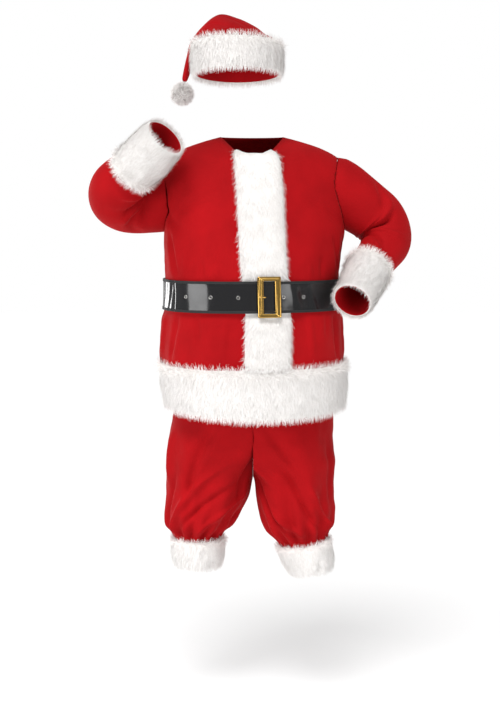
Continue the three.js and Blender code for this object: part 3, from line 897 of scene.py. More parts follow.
    def grow(self, item: bpy.types.Object, comb: Array, pile: Array, seed: int) -> bpy.types.Object:
        """Grow the pile on a ground mesh and leave one plain mesh.

        Args:
            item: the ground, a closed mesh.
            comb: direction of the pile at each vertex.
            pile: share of the full density at each vertex.
            seed: fixes the strands.

        Returns:
            The same object, with its strands.
        """
        mesh = item.data
        mesh.attributes.new("comb", "FLOAT_VECTOR", "POINT").data.foreach_set("vector", comb.ravel())
        mesh.attributes.new("pile", "FLOAT", "POINT").data.foreach_set("value", pile.ravel())
        values = {
            "Length": self.length * MM, "Width": self.width * MM, "Density": self.per_cm2 * 1e4,
            "Lift": self.lift, "Jitter": self.jitter, "Clump Scale": self.clump_scale,
            "Clump": self.clump, "Seed": seed,
        }
        tree = self.tree()
        step = item.modifiers.new("fur", "NODES")
        step.node_group = tree
        for socket in tree.interface.items_tree:
            if socket.item_type == "SOCKET" and socket.in_out == "INPUT" and socket.name in values:
                step[socket.identifier] = values[socket.name]
        bake(item)
        return item


def band_ground(name: str, surface: Surface, around: Array, top: float, bottom: float,
                thick: float, closed: bool = True, steps: int = 12,
                lump: float = 1.6, seed: int = 1) -> tuple[bpy.types.Object, Array, Array]:
    """The ground of a fur band: a soft rounded band round a form.

    Args:
        name: the object's name.
        surface: the form under the band, at (u, v).
        around: grid lines across the form.
        top: v where the band starts.
        bottom: v where it ends.
        thick: how far the ground stands out in its middle, in millimetres.
        closed: whether the band runs all round.
        steps: how many grid lines over the band's outside.
        lump: how uneven the ground is, in millimetres.
        seed: fixes the lumps.

    Returns:
        The object, the way down the band at each vertex, and each vertex's place across the band
        (-1 at the top to 1 at the bottom) with its share of pile.
    """
    turn = np.linspace(0, math.pi, steps + 1)
    across = -np.cos(turn)
    rise = np.sin(turn) ** 0.55
    profile_v = np.concatenate([across, [0.6, 0, -0.6]])
    profile_out = np.concatenate([rise, [0, 0, 0]])
    lines = around[:-1] if closed else around
    middle, half = (top + bottom) / 2, (bottom - top) / 2
    u, w = np.meshgrid(lines, middle + half * profile_v)
    base = surface(u, w)
    step = 1e-3
    toward = math.copysign(step, bottom - top)
    down = surface(u, w + toward) - surface(u, w - toward)
    side = surface(u + step * 50, w) - surface(u - step * 50, w)
    normal = np.cross(down, side)
    normal /= np.linalg.norm(normal, axis=2, keepdims=True)
    down /= np.linalg.norm(down, axis=2, keepdims=True)
    uneven = lump * ripples(base[..., 0] + base[..., 1], base[..., 2] - base[..., 1], seed, 30)
    out = ON_CLOTH + (thick + uneven) * profile_out[:, None]
    points = base + normal * out[..., None]
    rows, cols = points.shape[:2]
    index = np.arange(rows * cols).reshape(rows, cols)
    index = np.concatenate([index, index[:1]], 0)
    if closed:
        index = np.concatenate([index, index[:, :1]], 1)
    quads = np.stack([q.ravel() for q in (index[:-1, :-1], index[1:, :-1], index[1:, 1:], index[:-1, 1:])], 1)
    faces = quads.tolist()
    if not closed:
        faces += [index[:-1, 0].tolist(), index[:-1, -1][::-1].tolist()]
    item = make_object(name, points.reshape(-1, 3), faces)
    face_out(item)
    place = np.broadcast_to(profile_v[:, None], u.shape)
    level = np.arange(rows)
    bare = np.broadcast_to(((level >= steps) | (level == 0))[:, None], u.shape)
    pile = np.where(bare, 0.0, 1.0)
    return item, down.reshape(-1, 3), np.stack([place.ravel(), pile.ravel()], 1)


def edge_comb(down: Array, place: Array, up_share: float = 0.5) -> Array:
    """Comb a band's pile down, and up along its top edge.

    Args:
        down: the way down the band at each vertex.
        place: place across the band, -1 at the top to 1 at the bottom.
        up_share: how strongly the top edge is combed up.

    Returns:
        The comb direction at each vertex.
    """
    share = -up_share + (1 + up_share) * smooth(-1.0, -0.45, place)
    return down * share[:, None]


# ------------------------------------------------------------------ forms
@dataclass
class BodyForm:
    """The jacket's body: superellipse sections round a leaning middle, with its folds."""

    belt_middle: float = -393.0
    belt_width: float = 82.0
    rows: Rows = field(default_factory=lambda: Rows("z x y half front back turn square drop", [
        (24, 0, 8, 84, 72, 70, 4, 2.0, 62), (11, 1, 7, 132, 88, 86, 4, 2.0, 44),
        (-8, 3, 5, 186, 103, 100, 4, 2.1, 24), (-34, 4, 3, 229, 116, 112, 5, 2.2, 8),
        (-72, 5, 1, 245, 128, 120, 5, 2.3, 0), (-130, 6, 0, 245, 145, 129, 6, 2.3, 0),
        (-215, 5, 0, 239, 166, 138, 7, 2.3, 0), (-310, 1, 0, 234, 187, 146, 9, 2.3, 0),
        (-393, 0, 0, 234, 196, 148, 12, 2.3, 0), (-470, 0, 0, 238, 204, 156, 12, 2.3, 0),
        (-577, 1, 0, 243, 212, 168, 11, 2.25, 2), (-704, 8, 0, 236, 214, 176, 10, 2.25, 18),
        (-760, 8, 0, 236, 214, 176, 10, 2.25, 18)]))
    broad: tuple = ((-72, -190, -380, 6, 9), (-56, -230, -372, -5, 8), (64, -220, -376, 6, 9),
                    (80, -240, -378, -5, 8), (-40, -422, -575, 5, 10), (38, -424, -575, 4, 9),
                    (-100, -425, -590, 7, 12), (100, -425, -590, 6, 12), (150, -200, -372, 6, 12),
                    (-150, -210, -374, 6, 12), (176, -424, -600, 7, 13))
    creases: Creases = field(default_factory=lambda: Creases([
        (-74, -225, -67, -350, -8, 10, 3), (-59, -270, -61, -350, 5, 8, 0),
        (-47, -300, -45, -350, -4, 7, 2), (-36, -315, -35, -350, 3, 6, 0),
        (-86, -150, -58, -232, -4, 13, 5), (61, -238, 67, -350, -6, 9, -3),
        (49, -292, 46, -350, -4, 7, 0), (78, -205, 85, -350, 6, 10, 4), (37, -310, 36, -350, 3, 6, 0),
        (40, -130, 72, -212, -4, 14, -6), (-36, -112, -70, -186, -3, 14, 6),
        (70, -120, 84, -190, 4, 12, 2), (-66, -436, -73, -562, -6, 9, 3),
        (-51, -434, -49, -520, -4, 8, -2), (-30, -434, -31, -540, 3, 9, 0), (31, -434, 33, -552, 4, 9, 2),
        (55, -434, 60, -566, -6, 9, -3), (75, -436, 81, -570, 6, 11, 0), (-84, -436, -90, -560, 5, 10, 0),
        (46, -434, 45, -500, -3, 7, 0), (110, -250, 116, -352, -6, 10, 2),
        (128, -180, 122, -350, 5, 11, 0), (-112, -244, -117, -350, -6, 10, 0),
        (-130, -200, -124, -350, 5, 11, 2), (165, -260, 168, -350, -5, 9, 0),
        (-168, -232, -166, -350, -5, 10, 0), (140, -60, 170, -150, -3, 16, 8),
        (-142, -66, -172, -150, -3, 16, -8), (118, -436, 114, -572, -6, 11, 0),
        (136, -436, 140, -560, 4, 10, 2), (-120, -436, -118, -575, -5, 10, 0),
        (-140, -436, -144, -550, 4, 11, 0), (-164, -436, -162, -575, -5, 10, 0),
        (160, -436, 158, -540, -4, 9, 0)], 220))

    def pressed(self, z: Array) -> Array:
        """1 under the belt, falling to 0 above and below it."""
        return hump(np.maximum(0, np.abs(z - self.belt_middle) - self.belt_width / 2) / 16)

    def point(self, u: Array, z: Array, folded: bool = True) -> Array:
        """Return points of the form.

        Args:
            u: degrees round from the centre front towards the wearer's left.
            z: height of the section.
            folded: whether the folds and creases stand out of it.

        Returns:
            The points, one more axis than u.
        """
        row = self.rows.at(self.rows.share_of("z", z))
        angle = np.radians(u)
        sine, cosine = np.sin(angle), np.cos(angle)
        depth = np.where(cosine > 0, row["front"], row["back"])
        n = row["square"]
        radius = ((np.abs(sine) / row["half"]) ** n + (np.abs(cosine) / depth) ** n) ** (-1 / n)
        if folded:
            moved = np.zeros_like(radius)
            for at, top, bottom, out, wide in self.broad:
                fade = smooth(bottom - 25, bottom + 45, z) * (1 - smooth(top - 45, top + 25, z))
                moved = moved + out * fade * hump(apart(u, at) / wide)
            calm = 0.35 + 0.65 * smooth(10, 40, np.abs(apart(u, 0)))
            fine = (1.35 * self.creases.out(u, z) + 1.6 * ripples(u * 3.8, z * 0.7, 5, 110)
                    + 0.5 * ripples(u * 3.8, z, 6, 38))
            moved = moved + fine * calm * (1 - smooth(-40, 10, z))
            radius = radius + moved * (1 - self.pressed(z))
        bearing = angle + np.radians(row["turn"])
        facing = np.maximum(0, cosine) ** 2
        return np.stack([row["x"] + radius * np.sin(bearing), row["y"] - radius * np.cos(bearing),
                         row["z"] - row["drop"] * facing], -1)

    def bare(self, u: Array, z: Array) -> Array:
        """The form without its folds, which the belt bridges."""
        return self.point(u, z, False)


@dataclass
class SleeveForm:
    """A bent sleeve: a round tube along two straight stretches and a rounded elbow."""

    line: tuple
    bend: float
    radii: tuple
    folds: tuple
    creases: tuple
    seed: int
    corner: int = 2
    span: float = 0.035

    def __post_init__(self) -> None:
        """Round the elbow and measure the line."""
        points = np.array(self.line, float)
        here = points[self.corner]
        back = points[self.corner - 1] - here
        ahead = points[self.corner + 1] - here
        back, ahead = back / np.linalg.norm(back), ahead / np.linalg.norm(ahead)
        half = math.acos(float(back @ ahead)) / 2
        centre = (back + ahead) / np.linalg.norm(back + ahead) * self.bend / math.sin(half) + here
        start = here + back * self.bend / math.tan(half) - centre
        end = here + ahead * self.bend / math.tan(half) - centre
        axis = np.cross(start, end)
        self.axis = axis / np.linalg.norm(axis)
        sweep = math.pi - 2 * half
        turns = [Matrix.Rotation(sweep * t, 3, Vector(self.axis)) for t in np.linspace(0, 1, 25)]
        arc = [np.array(turn @ Vector(start)) + centre for turn in turns]
        self.path = np.array([*points[:self.corner], *arc, *points[self.corner + 1:]])
        lengths = np.linalg.norm(np.diff(self.path, axis=0), axis=1)
        self.length = float(lengths.sum())
        self.shares = np.concatenate([[0], np.cumsum(lengths)]) / self.length
        self.crease_set = Creases(self.creases, 70)

    def middle(self, share: Array) -> Array:
        """The line's points at shares of its length."""
        return np.stack([np.interp(share, self.shares, self.path[:, k]) for k in range(3)], -1)

    def point(self, u: Array, share: Array) -> Array:
        """Return points of the sleeve.

        Args:
            u: degrees round, 0 on the outside of the elbow.
            share: how far along the sleeve, from 0 to 1.

        Returns:
            The points, one more axis than u.
        """
        ahead = self.middle(np.minimum(1, share + self.span)) - self.middle(np.maximum(0, share - self.span))
        ahead /= np.linalg.norm(ahead, axis=-1, keepdims=True)
        out = np.cross(ahead, self.axis)
        out /= np.linalg.norm(out, axis=-1, keepdims=True)
        side = np.cross(out, ahead)
        angle = np.radians(u)
        inside = (1 - np.cos(angle)) / 2
        fold = sum(rise * hump((share - reach) / wide) for reach, rise, wide in self.folds)
        keys, sizes = zip(*self.radii)
        radius = sum(np.interp(share + d, keys, sizes) for d in (-0.04, -0.02, 0, 0.02, 0.04)) / 5
        along = share * self.length
        fine = 1.5 * self.crease_set.out(u, along) + 1.5 * ripples(
            np.cos(angle) * 70 + along * 0.3, np.sin(angle) * 70 + along * 0.5, self.seed, 95)
        fine = fine * smooth(0.1, 0.3, share) * (1 - 0.7 * smooth(0.66, 0.74, share))
        radius = radius + fold * inside + fine
        return (self.middle(share) + out * (radius * np.cos(angle))[..., None]
                + side * (radius * np.sin(angle))[..., None])


@dataclass
class LegForm:
    """One trouser leg in level sections, with gathers over the ankle."""

    rows: Rows
    folds: tuple
    creases: Creases
    seed: int
    gathers: Rows = field(default_factory=lambda: Rows("z out", [
        (-454, 0), (-900, 0), (-985, 1.5), (-1034, 4), (-1062, 2), (-1142, 1)]))

    def point(self, u: Array, z: Array) -> Array:
        """Return points of the leg.

        Args:
            u: degrees round from the front towards the wearer's left.
            z: height of the section.

        Returns:
            The points, one more axis than u.
        """
        row = self.rows.at(self.rows.share_of("z", z))
        angle = np.radians(u)
        middle, half = (row["outer"] + row["inner"]) / 2, np.abs(row["outer"] - row["inner"]) / 2
        depth = np.where(np.cos(angle) > 0, row["front"], row["back"])
        gather = self.gathers.straight("z", "out", z) * np.cos(
            np.radians(13 * u + 20 * np.sin(np.radians(3 * u))))
        moved = 1.8 * gather + 2.3 * self.creases.out(u, z)
        for at, top, bottom, out, wide in self.folds:
            fade = smooth(bottom - 25, bottom + 45, z) * (1 - smooth(top - 45, top + 25, z))
            moved = moved + out * fade * hump(apart(u, at) / wide)
        moved = moved + (
            1.6 * ripples(u * 1.9, z * 0.6, self.seed, 90) + 0.5 * ripples(u * 1.9, z, self.seed + 1, 34)
        ) * (1 - smooth(-720, -690, z)) * smooth(-1062, -1040, z)
        swell = 1 + moved / half
        x = middle + half * swell * np.sin(angle)
        return np.stack([
            x, row["y"] - depth * swell * np.cos(angle), row["z"] + row["tilt"] * (x - middle)], -1)

    def cuff(self, u: Array, share: Array) -> Array:
        """The plain ankle under the fur cuff, from its top at 0 to its end at 1.

        Args:
            u: where round the leg, in degrees.
            share: how far down the cuff.

        Returns:
            Places, in millimetres.
        """
        ends = Rows(" ".join(self.rows.names), self.rows.data[-2:])
        row = ends.at(share)
        angle = np.radians(u)
        middle, half = (row["outer"] + row["inner"]) / 2, np.abs(row["outer"] - row["inner"]) / 2
        depth = np.where(np.cos(angle) > 0, row["front"], row["back"])
        x = middle + half * np.sin(angle)
        return np.stack([x, row["y"] - depth * np.cos(angle), row["z"] - 6 + row["tilt"] * (x - middle)], -1)


@dataclass
class CrownForm:
    """The hat's crown from its mouth to the tip that folds over the wearer's right."""

    rows: Rows = field(default_factory=lambda: Rows("innerX innerZ outerX outerZ depth y rise", [
        (-149, 190, 71, 190, 118, -15, 0.12), (-149, 270, 69, 264, 117, -15, 0.12),
        (-146, 280, 36, 290, 104, -12, 0.09), (-142, 286, 5, 312, 92, -8, 0.05),
        (-138, 288, -38, 334, 79, 2, 0.02), (-140, 285, -88, 346, 64, 14, 0),
        (-146, 282, -130, 318, 50, 32, 0), (-153, 272, -164, 279, 36, 54, 0),
        (-160, 242, -175, 243, 24, 70, 0), (-165, 210, -183, 211, 16, 76, 0),
        (-174, 184, -188, 184, 8, 76, 0), (-179, 176, -184, 176, 2.5, 76, 0)]))
    creases: Creases = field(default_factory=lambda: Creases([
        (-70, 0.82, -20, 0.55, -5, 8, 4), (-30, 0.86, 30, 0.62, 4, 9, -5), (35, 0.84, 60, 0.5, -5, 9, 3),
        (-80, 0.7, -60, 0.4, 4, 8, 0), (75, 0.8, 88, 0.45, 4, 8, 0), (0, 0.72, 10, 0.45, -4, 8, 3),
        (150, 0.84, 200, 0.55, -5, 9, 4), (210, 0.8, 240, 0.5, 4, 9, -4),
        (120, 0.8, 130, 0.5, 4, 9, 0)], 90))

    def point(self, u: Array, share: Array) -> Array:
        """Return points of the crown.

        Args:
            u: degrees round from the front towards the wearer's left.
            share: 0 at the tip to 1 at the mouth.

        Returns:
            The points, one more axis than u.
        """
        row = self.rows.at(1 - share)
        angle = np.radians(u)
        # the creases table works in millimetres along, about 600 from tip to mouth
        along = Creases(self.creases.rows * np.array([1, 600, 1, 600, 1, 1, 1]), self.creases.radius)
        size = np.minimum(1, row["depth"] / 80)
        extra = (along.out(u, share * 600) + 1.2 * ripples(u * 1.4, share * 600, 31, 80)) * size
        extra = extra * (1 - smooth(0.86, 0.92, share))
        swell = 1 + extra / np.maximum(row["depth"], 10)
        front = row["depth"] * np.cos(angle) * swell
        sine = np.sin(angle) * swell
        return np.stack([
            (row["innerX"] + row["outerX"]) / 2 + (row["outerX"] - row["innerX"]) / 2 * sine,
            row["y"] - front,
            (row["innerZ"] + row["outerZ"]) / 2 + (row["outerZ"] - row["innerZ"]) / 2 * sine
            + row["rise"] * front], -1)


# ------------------------------------------------------------------ garments
@dataclass
class Trims:
    wardrobe: Wardrobe

    def band(self, name: str, surface: Surface, around: Array, top: float, bottom: float, thick: float,
             fur: Fur, seed: int, closed: bool = True, up_share: float = 0.5) -> bpy.types.Object:
        """Make a fur band that stands for its CAD node.

        Args:
            name: the CAD node and piece name.
            surface: the form under the band.
            around: grid lines across it.
            top: where the band starts, in the form's second coordinate.
            bottom: where it ends.
            thick: how far its ground stands out.
            fur: the pile's sizes.
            seed: fixes the strands.
            closed: whether the band runs all round.
            up_share: how strongly the top edge is combed up.

        Returns:
            The piece.
        """
        item, down, place = band_ground(name, surface, around, top, bottom, thick, closed, seed=seed)
        comb = edge_comb(down, place[:, 0], up_share)
        return self.finish(item, comb, place[:, 1], fur, seed)

    def finish(self, item: bpy.types.Object, comb: Array, pile: Array, fur: Fur,
               seed: int) -> bpy.types.Object:
        """Args:
            item: the band's ground.
            comb: which way the strands lean at each corner.
            pile: how much pile grows at each corner, from 0 to 1.
            fur: the pile's sizes.
            seed: fixes the strands.

        Returns:
            The piece.
        """
        fur.grow(item, comb, pile, seed)
        dress(item, self.wardrobe.strand)
        return item


@dataclass
class Jacket:
    """The jacket: two fronts, a back, two sleeves and its fur."""

    wardrobe: Wardrobe
    body: BodyForm
    side_seam: float = 92.0
    hem_top: float = -577.0
    hem_bottom: float = -704.0
    cloth_end: float = -690.0
    strip_width: float = 122.0
    sleeves: dict = field(default_factory=lambda: {
        "right": SleeveForm(
            line=((-140, 26, -122), (-215, 12, -140), (-452, -46, -177), (-318, -132, -78), (-222, -200, 17)),
            bend=74, radii=((0, 70), (0.17, 84), (0.3, 82), (0.5, 74), (0.62, 66), (0.8, 56), (1, 50)),
            folds=((0.34, -14, 0.09), (0.45, -5, 0.025), (0.56, -6, 0.022), (0.72, -10, 0.07)),
            creases=((172, 322, 92, 268, -11, 10, 8), (186, 322, 262, 262, -11, 10, -8),
                     (170, 340, 60, 332, 5, 8, 6), (190, 338, 300, 330, 5, 8, -6),
                     (176, 356, 96, 396, -6, 8, -5), (184, 356, 268, 402, -6, 8, 5),
                     (150, 292, 70, 226, 4, 10, 6), (212, 296, 284, 222, 4, 10, -6),
                     (120, 250, 60, 180, -4, 12, 0), (238, 246, 300, 176, -4, 12, 0),
                     (140, 380, 110, 440, 4, 8, 0), (222, 380, 250, 440, 4, 8, 0)),
            seed=41),
        "left": SleeveForm(
            line=((150, 22, -96), (225, 14, -108), (390, 35, -226), (307, -72, -330), (258, -176, -400)),
            bend=72, radii=((0, 66), (0.16, 82), (0.28, 80), (0.5, 69), (0.62, 59), (0.75, 52), (1, 49)),
            folds=((0.4, 4, 0.03), (0.48, -5, 0.025), (0.57, -5, 0.022), (0.92, -9, 0.12)),
            creases=((172, 288, 96, 240, -10, 10, 6), (188, 288, 266, 236, -10, 10, -6),
                     (170, 304, 64, 302, 5, 8, 6), (190, 304, 298, 298, 5, 8, -6),
                     (176, 322, 98, 358, -6, 8, -5), (184, 322, 262, 362, -6, 8, 5),
                     (146, 262, 74, 200, 4, 10, 6), (214, 258, 286, 196, 4, 10, -6),
                     (112, 214, 60, 150, -4, 12, 0), (246, 216, 300, 152, -4, 12, 0),
                     (130, 350, 96, 396, 4, 8, 0), (230, 350, 262, 392, 4, 8, 0)),
            seed=53)})
    cuff_start: dict = field(default_factory=lambda: {"right": 0.72, "left": 0.71})

    def build(self) -> None:
        """Build every piece of the jacket."""
        around = np.linspace(0, 360, 121)
        body_solid = filled("body_cutter", self.body.point, np.linspace(0, 360, 181),
                            np.linspace(24, -760, 131), ON_CLOTH)
        round_sleeve = np.linspace(0, 360, 97)
        solids = {side: filled(f"sleeve_cutter_{side}", form.point, round_sleeve,
                               np.linspace(0, 1, 121), ON_CLOTH)
                  for side, form in self.sleeves.items()}
        panels = self.panels(list(solids.values()))
        trims = Trims(self.wardrobe)
        hem = self.hem(trims)
        strip = self.strip(trims)
        sleeves, cuffs = {}, {}
        for k, (side, form) in enumerate(self.sleeves.items()):
            tube = wall(f"sleeve_{side}", form.point, round_sleeve, np.linspace(0, 1, 131),
                        -CLOTH / 2, CLOTH / 2, True)
            cut(tube, body_solid)
            dress(tube, self.wardrobe.velour)
            sleeves[side] = tube
            cuffs[side] = trims.band(f"fur_cuff_{side}", form.point, around, self.cuff_start[side], 1.0, 10,
                                     Fur(self.wardrobe, per_cm2=20, length=17), 21 + k, up_share=0.35)
        drop(body_solid, *solids.values())

    def panels(self, cutters: Sequence[bpy.types.Object]) -> dict[str, bpy.types.Object]:
        """Cut the two fronts and the back, open at the armholes.

        Args:
            cutters: the solids that open the armholes.

        Returns:
            Panel name to piece.
        """
        gap = math.degrees(SEAM / 2 / 200)
        close = (0.25, 0.6, 1.1)
        spans = {
            "jacket_front_left": lines_between(gap, self.side_seam - gap, 62, close),
            "jacket_back": lines_between(self.side_seam + gap, 360 - self.side_seam - gap, 118, close),
            "jacket_front_right": lines_between(-self.side_seam + gap, -gap, 62, close),
        }
        downs = np.linspace(24, self.cloth_end, 128)
        made = {}
        for name, lines in spans.items():
            low, high = lines[0], lines[-1]

            def seamed(u: Array, z: Array, low: float = low, high: float = high) -> Array:
                """The form, drawn in a little along the panel's seams.

                Args:
                    u: where round the body, in degrees.
                    z: the height, in millimetres.
                    low: the panel's first line.
                    high: its last line.

                Returns:
                    Places, in millimetres.
                """
                points = self.body.point(u, z)
                near = np.minimum(u - low, high - u) * 3.9
                sunk = -1.3 * hump(near / 2.6)
                middle = np.stack([np.zeros_like(z), np.zeros_like(z), points[..., 2]], -1)
                outward = points - middle
                outward /= np.linalg.norm(outward, axis=-1, keepdims=True)
                return points + outward * sunk[..., None]

            piece = wall(name, seamed, lines, downs, -CLOTH / 2, CLOTH / 2)
            cut(piece, *cutters)
            dress(piece, self.wardrobe.velour)
            made[name] = piece
        return made

    def hem(self, trims: Trims) -> bpy.types.Object:
        """The deep fur band round the hem, its pile closing over the centre front.

        Args:
            trims: makes the fur pieces.

        Returns:
            The piece.
        """
        return trims.band("fur_hem_band", self.body.point, np.linspace(0, 360, 241), self.hem_top - 2,
                          self.hem_bottom + 11, 10, Fur(self.wardrobe, per_cm2=19, length=20), 11,
                          up_share=0.2)

    def strip(self, trims: Trims) -> bpy.types.Object:
        """The fur strip down the centre front, pressed flat under the belt.

        Args:
            trims: makes the fur pieces.

        Returns:
            The piece.
        """
        form, body = self.body, self.body.point

        def across(z: Array, s: Array) -> Array:
            """Points of the strip: s from -1 to 1 across, at height z."""
            row = form.rows.at(form.rows.share_of("z", z))
            return body(np.degrees(np.arctan2(s * self.strip_width / 2, row["front"])), z)

        heights = np.linspace(22, self.hem_top + 2, 120)
        item, _, place = band_ground("fur_front_strip", across, heights, -1, 1, 10, False, 10, seed=12)
        mesh = item.data
        points = np.empty(len(mesh.vertices) * 3)
        mesh.vertices.foreach_get("co", points)
        points = points.reshape(-1, 3)
        level = np.tile(heights, len(points) // len(heights))
        flat = form.pressed(level)
        side = place[:, 0]
        # under the belt the pile lies flat: bring the ground in towards the cloth
        base = across(level, np.clip(side, -1, 1))
        out = points / MM - base
        reach = np.linalg.norm(out, axis=1, keepdims=True)
        squeeze = np.where(reach > 3.2, 1 - flat[:, None] * (1 - 3.2 / np.maximum(reach, 3.2)), 1)
        mesh.vertices.foreach_set("co", ((base + out * squeeze) * MM).ravel())
        comb = np.stack([side * 0.3, np.zeros_like(side), -0.8 * np.ones_like(side)], 1)
        comb = comb * (1 - 0.35 * smooth(0.5, 1, np.abs(side)))[:, None]
        covered = np.abs(level - form.belt_middle) < form.belt_width / 2 + 4
        pile = place[:, 1] * np.where(covered, 0.0, 1.0)
        return trims.finish(item, comb, pile, Fur(self.wardrobe, per_cm2=20, length=16), 12)


@dataclass
class Belt:
    """The patent belt with its bindings, eyelets, buckle frame and prong."""

    wardrobe: Wardrobe
    body: BodyForm
    thick: float = 2.2
    binding_width: float = 7.0
    binding_thick: float = 0.8
    lift: float = 4.6
    strip_flat: float = 4.0
    start: float = -8.0
    end: float = -67.5
    width: float = 62.0
    height: float = 106.0
    rail: float = 16.0
    rail_top: float = 11.0
    frame_thick: float = 6.0
    eyelets: tuple = (-57.5, -40.25, -22.0, 11.0, 26.75)

    def inner(self, u: Array) -> Array:
        """How far the strap's inner face lies outside the body's form.

        Args:
            u: where round the body, in degrees.

        Returns:
            The distance in millimetres.
        """
        over_strip = 1 - smooth(15, 26, np.abs(apart(u, 0)))
        over_layer = 1 - smooth(18, 34, u)
        return ON_CLOTH + 1.4 + self.binding_thick + self.strip_flat * over_strip + self.lift * over_layer

    def strap_point(self, u: Array, z: Array) -> Array:
        """The belt's own form: the bare body moved out to the strap, with soft waves.

        Args:
            u: where round the body, in degrees.
            z: the height, in millimetres.

        Returns:
            Places, in millimetres.
        """
        base = self.body.bare(u, z)
        step = 0.05
        down = self.body.bare(u, z - step) - self.body.bare(u, z + step)
        side = self.body.bare(u + step, z) - self.body.bare(u - step, z)
        normal = np.cross(down, side)
        normal /= np.linalg.norm(normal, axis=-1, keepdims=True)
        ends = smooth(-8, 0, -np.abs(apart(u, 0)))
        waves = (0.75 * ripples(u * 3.9, z * 0.6, 61, 70) + 0.12 * ripples(u * 3.9, z, 62, 22)) * (1 - ends)
        crinkle = np.zeros_like(waves)
        for at, slant, rise, wide in ((283.5, 0.06, 1.2, 0.8), (286.3, 0.08, -0.9, 0.7),
                                      (288.6, 0.05, 1.0, 0.6), (280.5, 0.09, 1.0, 0.9),
                                      (290.4, -0.04, 0.8, 0.6), (278.0, 0.04, -0.7, 1.0)):
            crinkle = crinkle + rise * hump((u - at - (z - self.body.belt_middle) * slant) / wide)
        return base + normal * (self.inner(u) + waves + crinkle)[..., None]

    def flat_frame(self, degrees: float, lift: float) -> Matrix:
        """A flat frame on the belt's middle: x to the wearer's left, y up, z out (millimetres).

        Args:
            degrees: where round the body.
            lift: how far out from the bare body, in millimetres.

        Returns:
            The frame as a matrix.
        """
        u, z = np.array(degrees), np.array(self.body.belt_middle)
        place = self.body.bare(u, z)
        step = 0.05
        down = self.body.bare(u, z - step) - self.body.bare(u, z + step)
        side = self.body.bare(u + step, z) - self.body.bare(u - step, z)
        out = Vector(np.cross(down, side)).normalized()
        across = Vector((0, 0, 1)).cross(out).normalized()
        up = out.cross(across)
        matrix = Matrix((across, up, out)).transposed().to_4x4()
        matrix.translation = Vector(place) + out * lift
        return matrix

    def build(self) -> None:
        """Build the belt's pieces."""
        turns = np.linspace(self.end, 360 + self.start, 520)
        middle, half = self.body.belt_middle, self.body.belt_width / 2
        edge = np.array([0, 0.5, 1.2, 2.2])
        levels = np.concatenate([
            middle + half - edge, np.linspace(middle + half - 9, middle - half + 9, 9),
            (middle - half + edge)[::-1]])
        strap = wall("belt_strap", self.strap_point, turns, levels, 0.0, self.thick)
        dress(strap, self.wardrobe.vinyl)
        spread = np.array([0, 0.4, 1.0, 3.5, 6.0, 6.6, 7.0])
        for name, top in (("top", middle + half), ("bottom", middle - half + self.binding_width)):
            tape = wall(f"belt_binding_{name}", self.strap_point, turns, top - spread,
                        self.thick + SEAM, self.thick + SEAM + self.binding_thick)
            dress(tape, self.wardrobe.tape)
        tree = self.stitch_tree()
        self.stitch(tree, "top", middle + half - self.binding_width + 1.4)
        self.stitch(tree, "bottom", middle - half + self.binding_width - 1.4)
        self.build_buckle()
        self.build_eyelets()

    def stitch_tree(self) -> bpy.types.NodeTree:
        """Build the tree that lays thread stitches along a guide line, with named inputs.

        Returns:
            The tree.
        """
        tree = bpy.data.node_groups.new("row_of_stitches", "GeometryNodeTree")
        face = tree.interface
        face.new_socket("Guide", in_out="INPUT", socket_type="NodeSocketGeometry")
        for label in ("Spacing", "Length", "Thickness"):
            face.new_socket(label, in_out="INPUT", socket_type="NodeSocketFloat")
        face.new_socket("Stitches", in_out="OUTPUT", socket_type="NodeSocketGeometry")
        nodes, links = tree.nodes, tree.links
        source, sink = nodes.new("NodeGroupInput"), nodes.new("NodeGroupOutput")
        line = nodes.new("GeometryNodeMeshToCurve")
        even = nodes.new("GeometryNodeCurveToPoints")
        even.mode = "LENGTH"
        links.new(source.outputs["Guide"], line.inputs["Mesh"])
        links.new(line.outputs["Curve"], even.inputs["Curve"])
        links.new(source.outputs["Spacing"], even.inputs["Length"])
        stitch = nodes.new("GeometryNodeMeshUVSphere")
        for label, value in (("Segments", 6), ("Rings", 4), ("Radius", 0.5)):
            stitch.inputs[label].default_value = value
        size = nodes.new("ShaderNodeCombineXYZ")
        for slot, label in enumerate(("Thickness", "Thickness", "Length")):
            links.new(source.outputs[label], size.inputs[slot])
        lay = nodes.new("GeometryNodeInstanceOnPoints")
        links.new(even.outputs["Points"], lay.inputs["Points"])
        links.new(stitch.outputs["Mesh"], lay.inputs["Instance"])
        links.new(even.outputs["Rotation"], lay.inputs["Rotation"])
        links.new(size.outputs[0], lay.inputs["Scale"])
        real = nodes.new("GeometryNodeRealizeInstances")
        thread = nodes.new("GeometryNodeSetMaterial")
        thread.inputs["Material"].default_value = self.wardrobe.thread
        links.new(lay.outputs["Instances"], real.inputs["Geometry"])
        links.new(real.outputs["Geometry"], thread.inputs["Geometry"])
        links.new(thread.outputs["Geometry"], sink.inputs["Stitches"])
        return tree

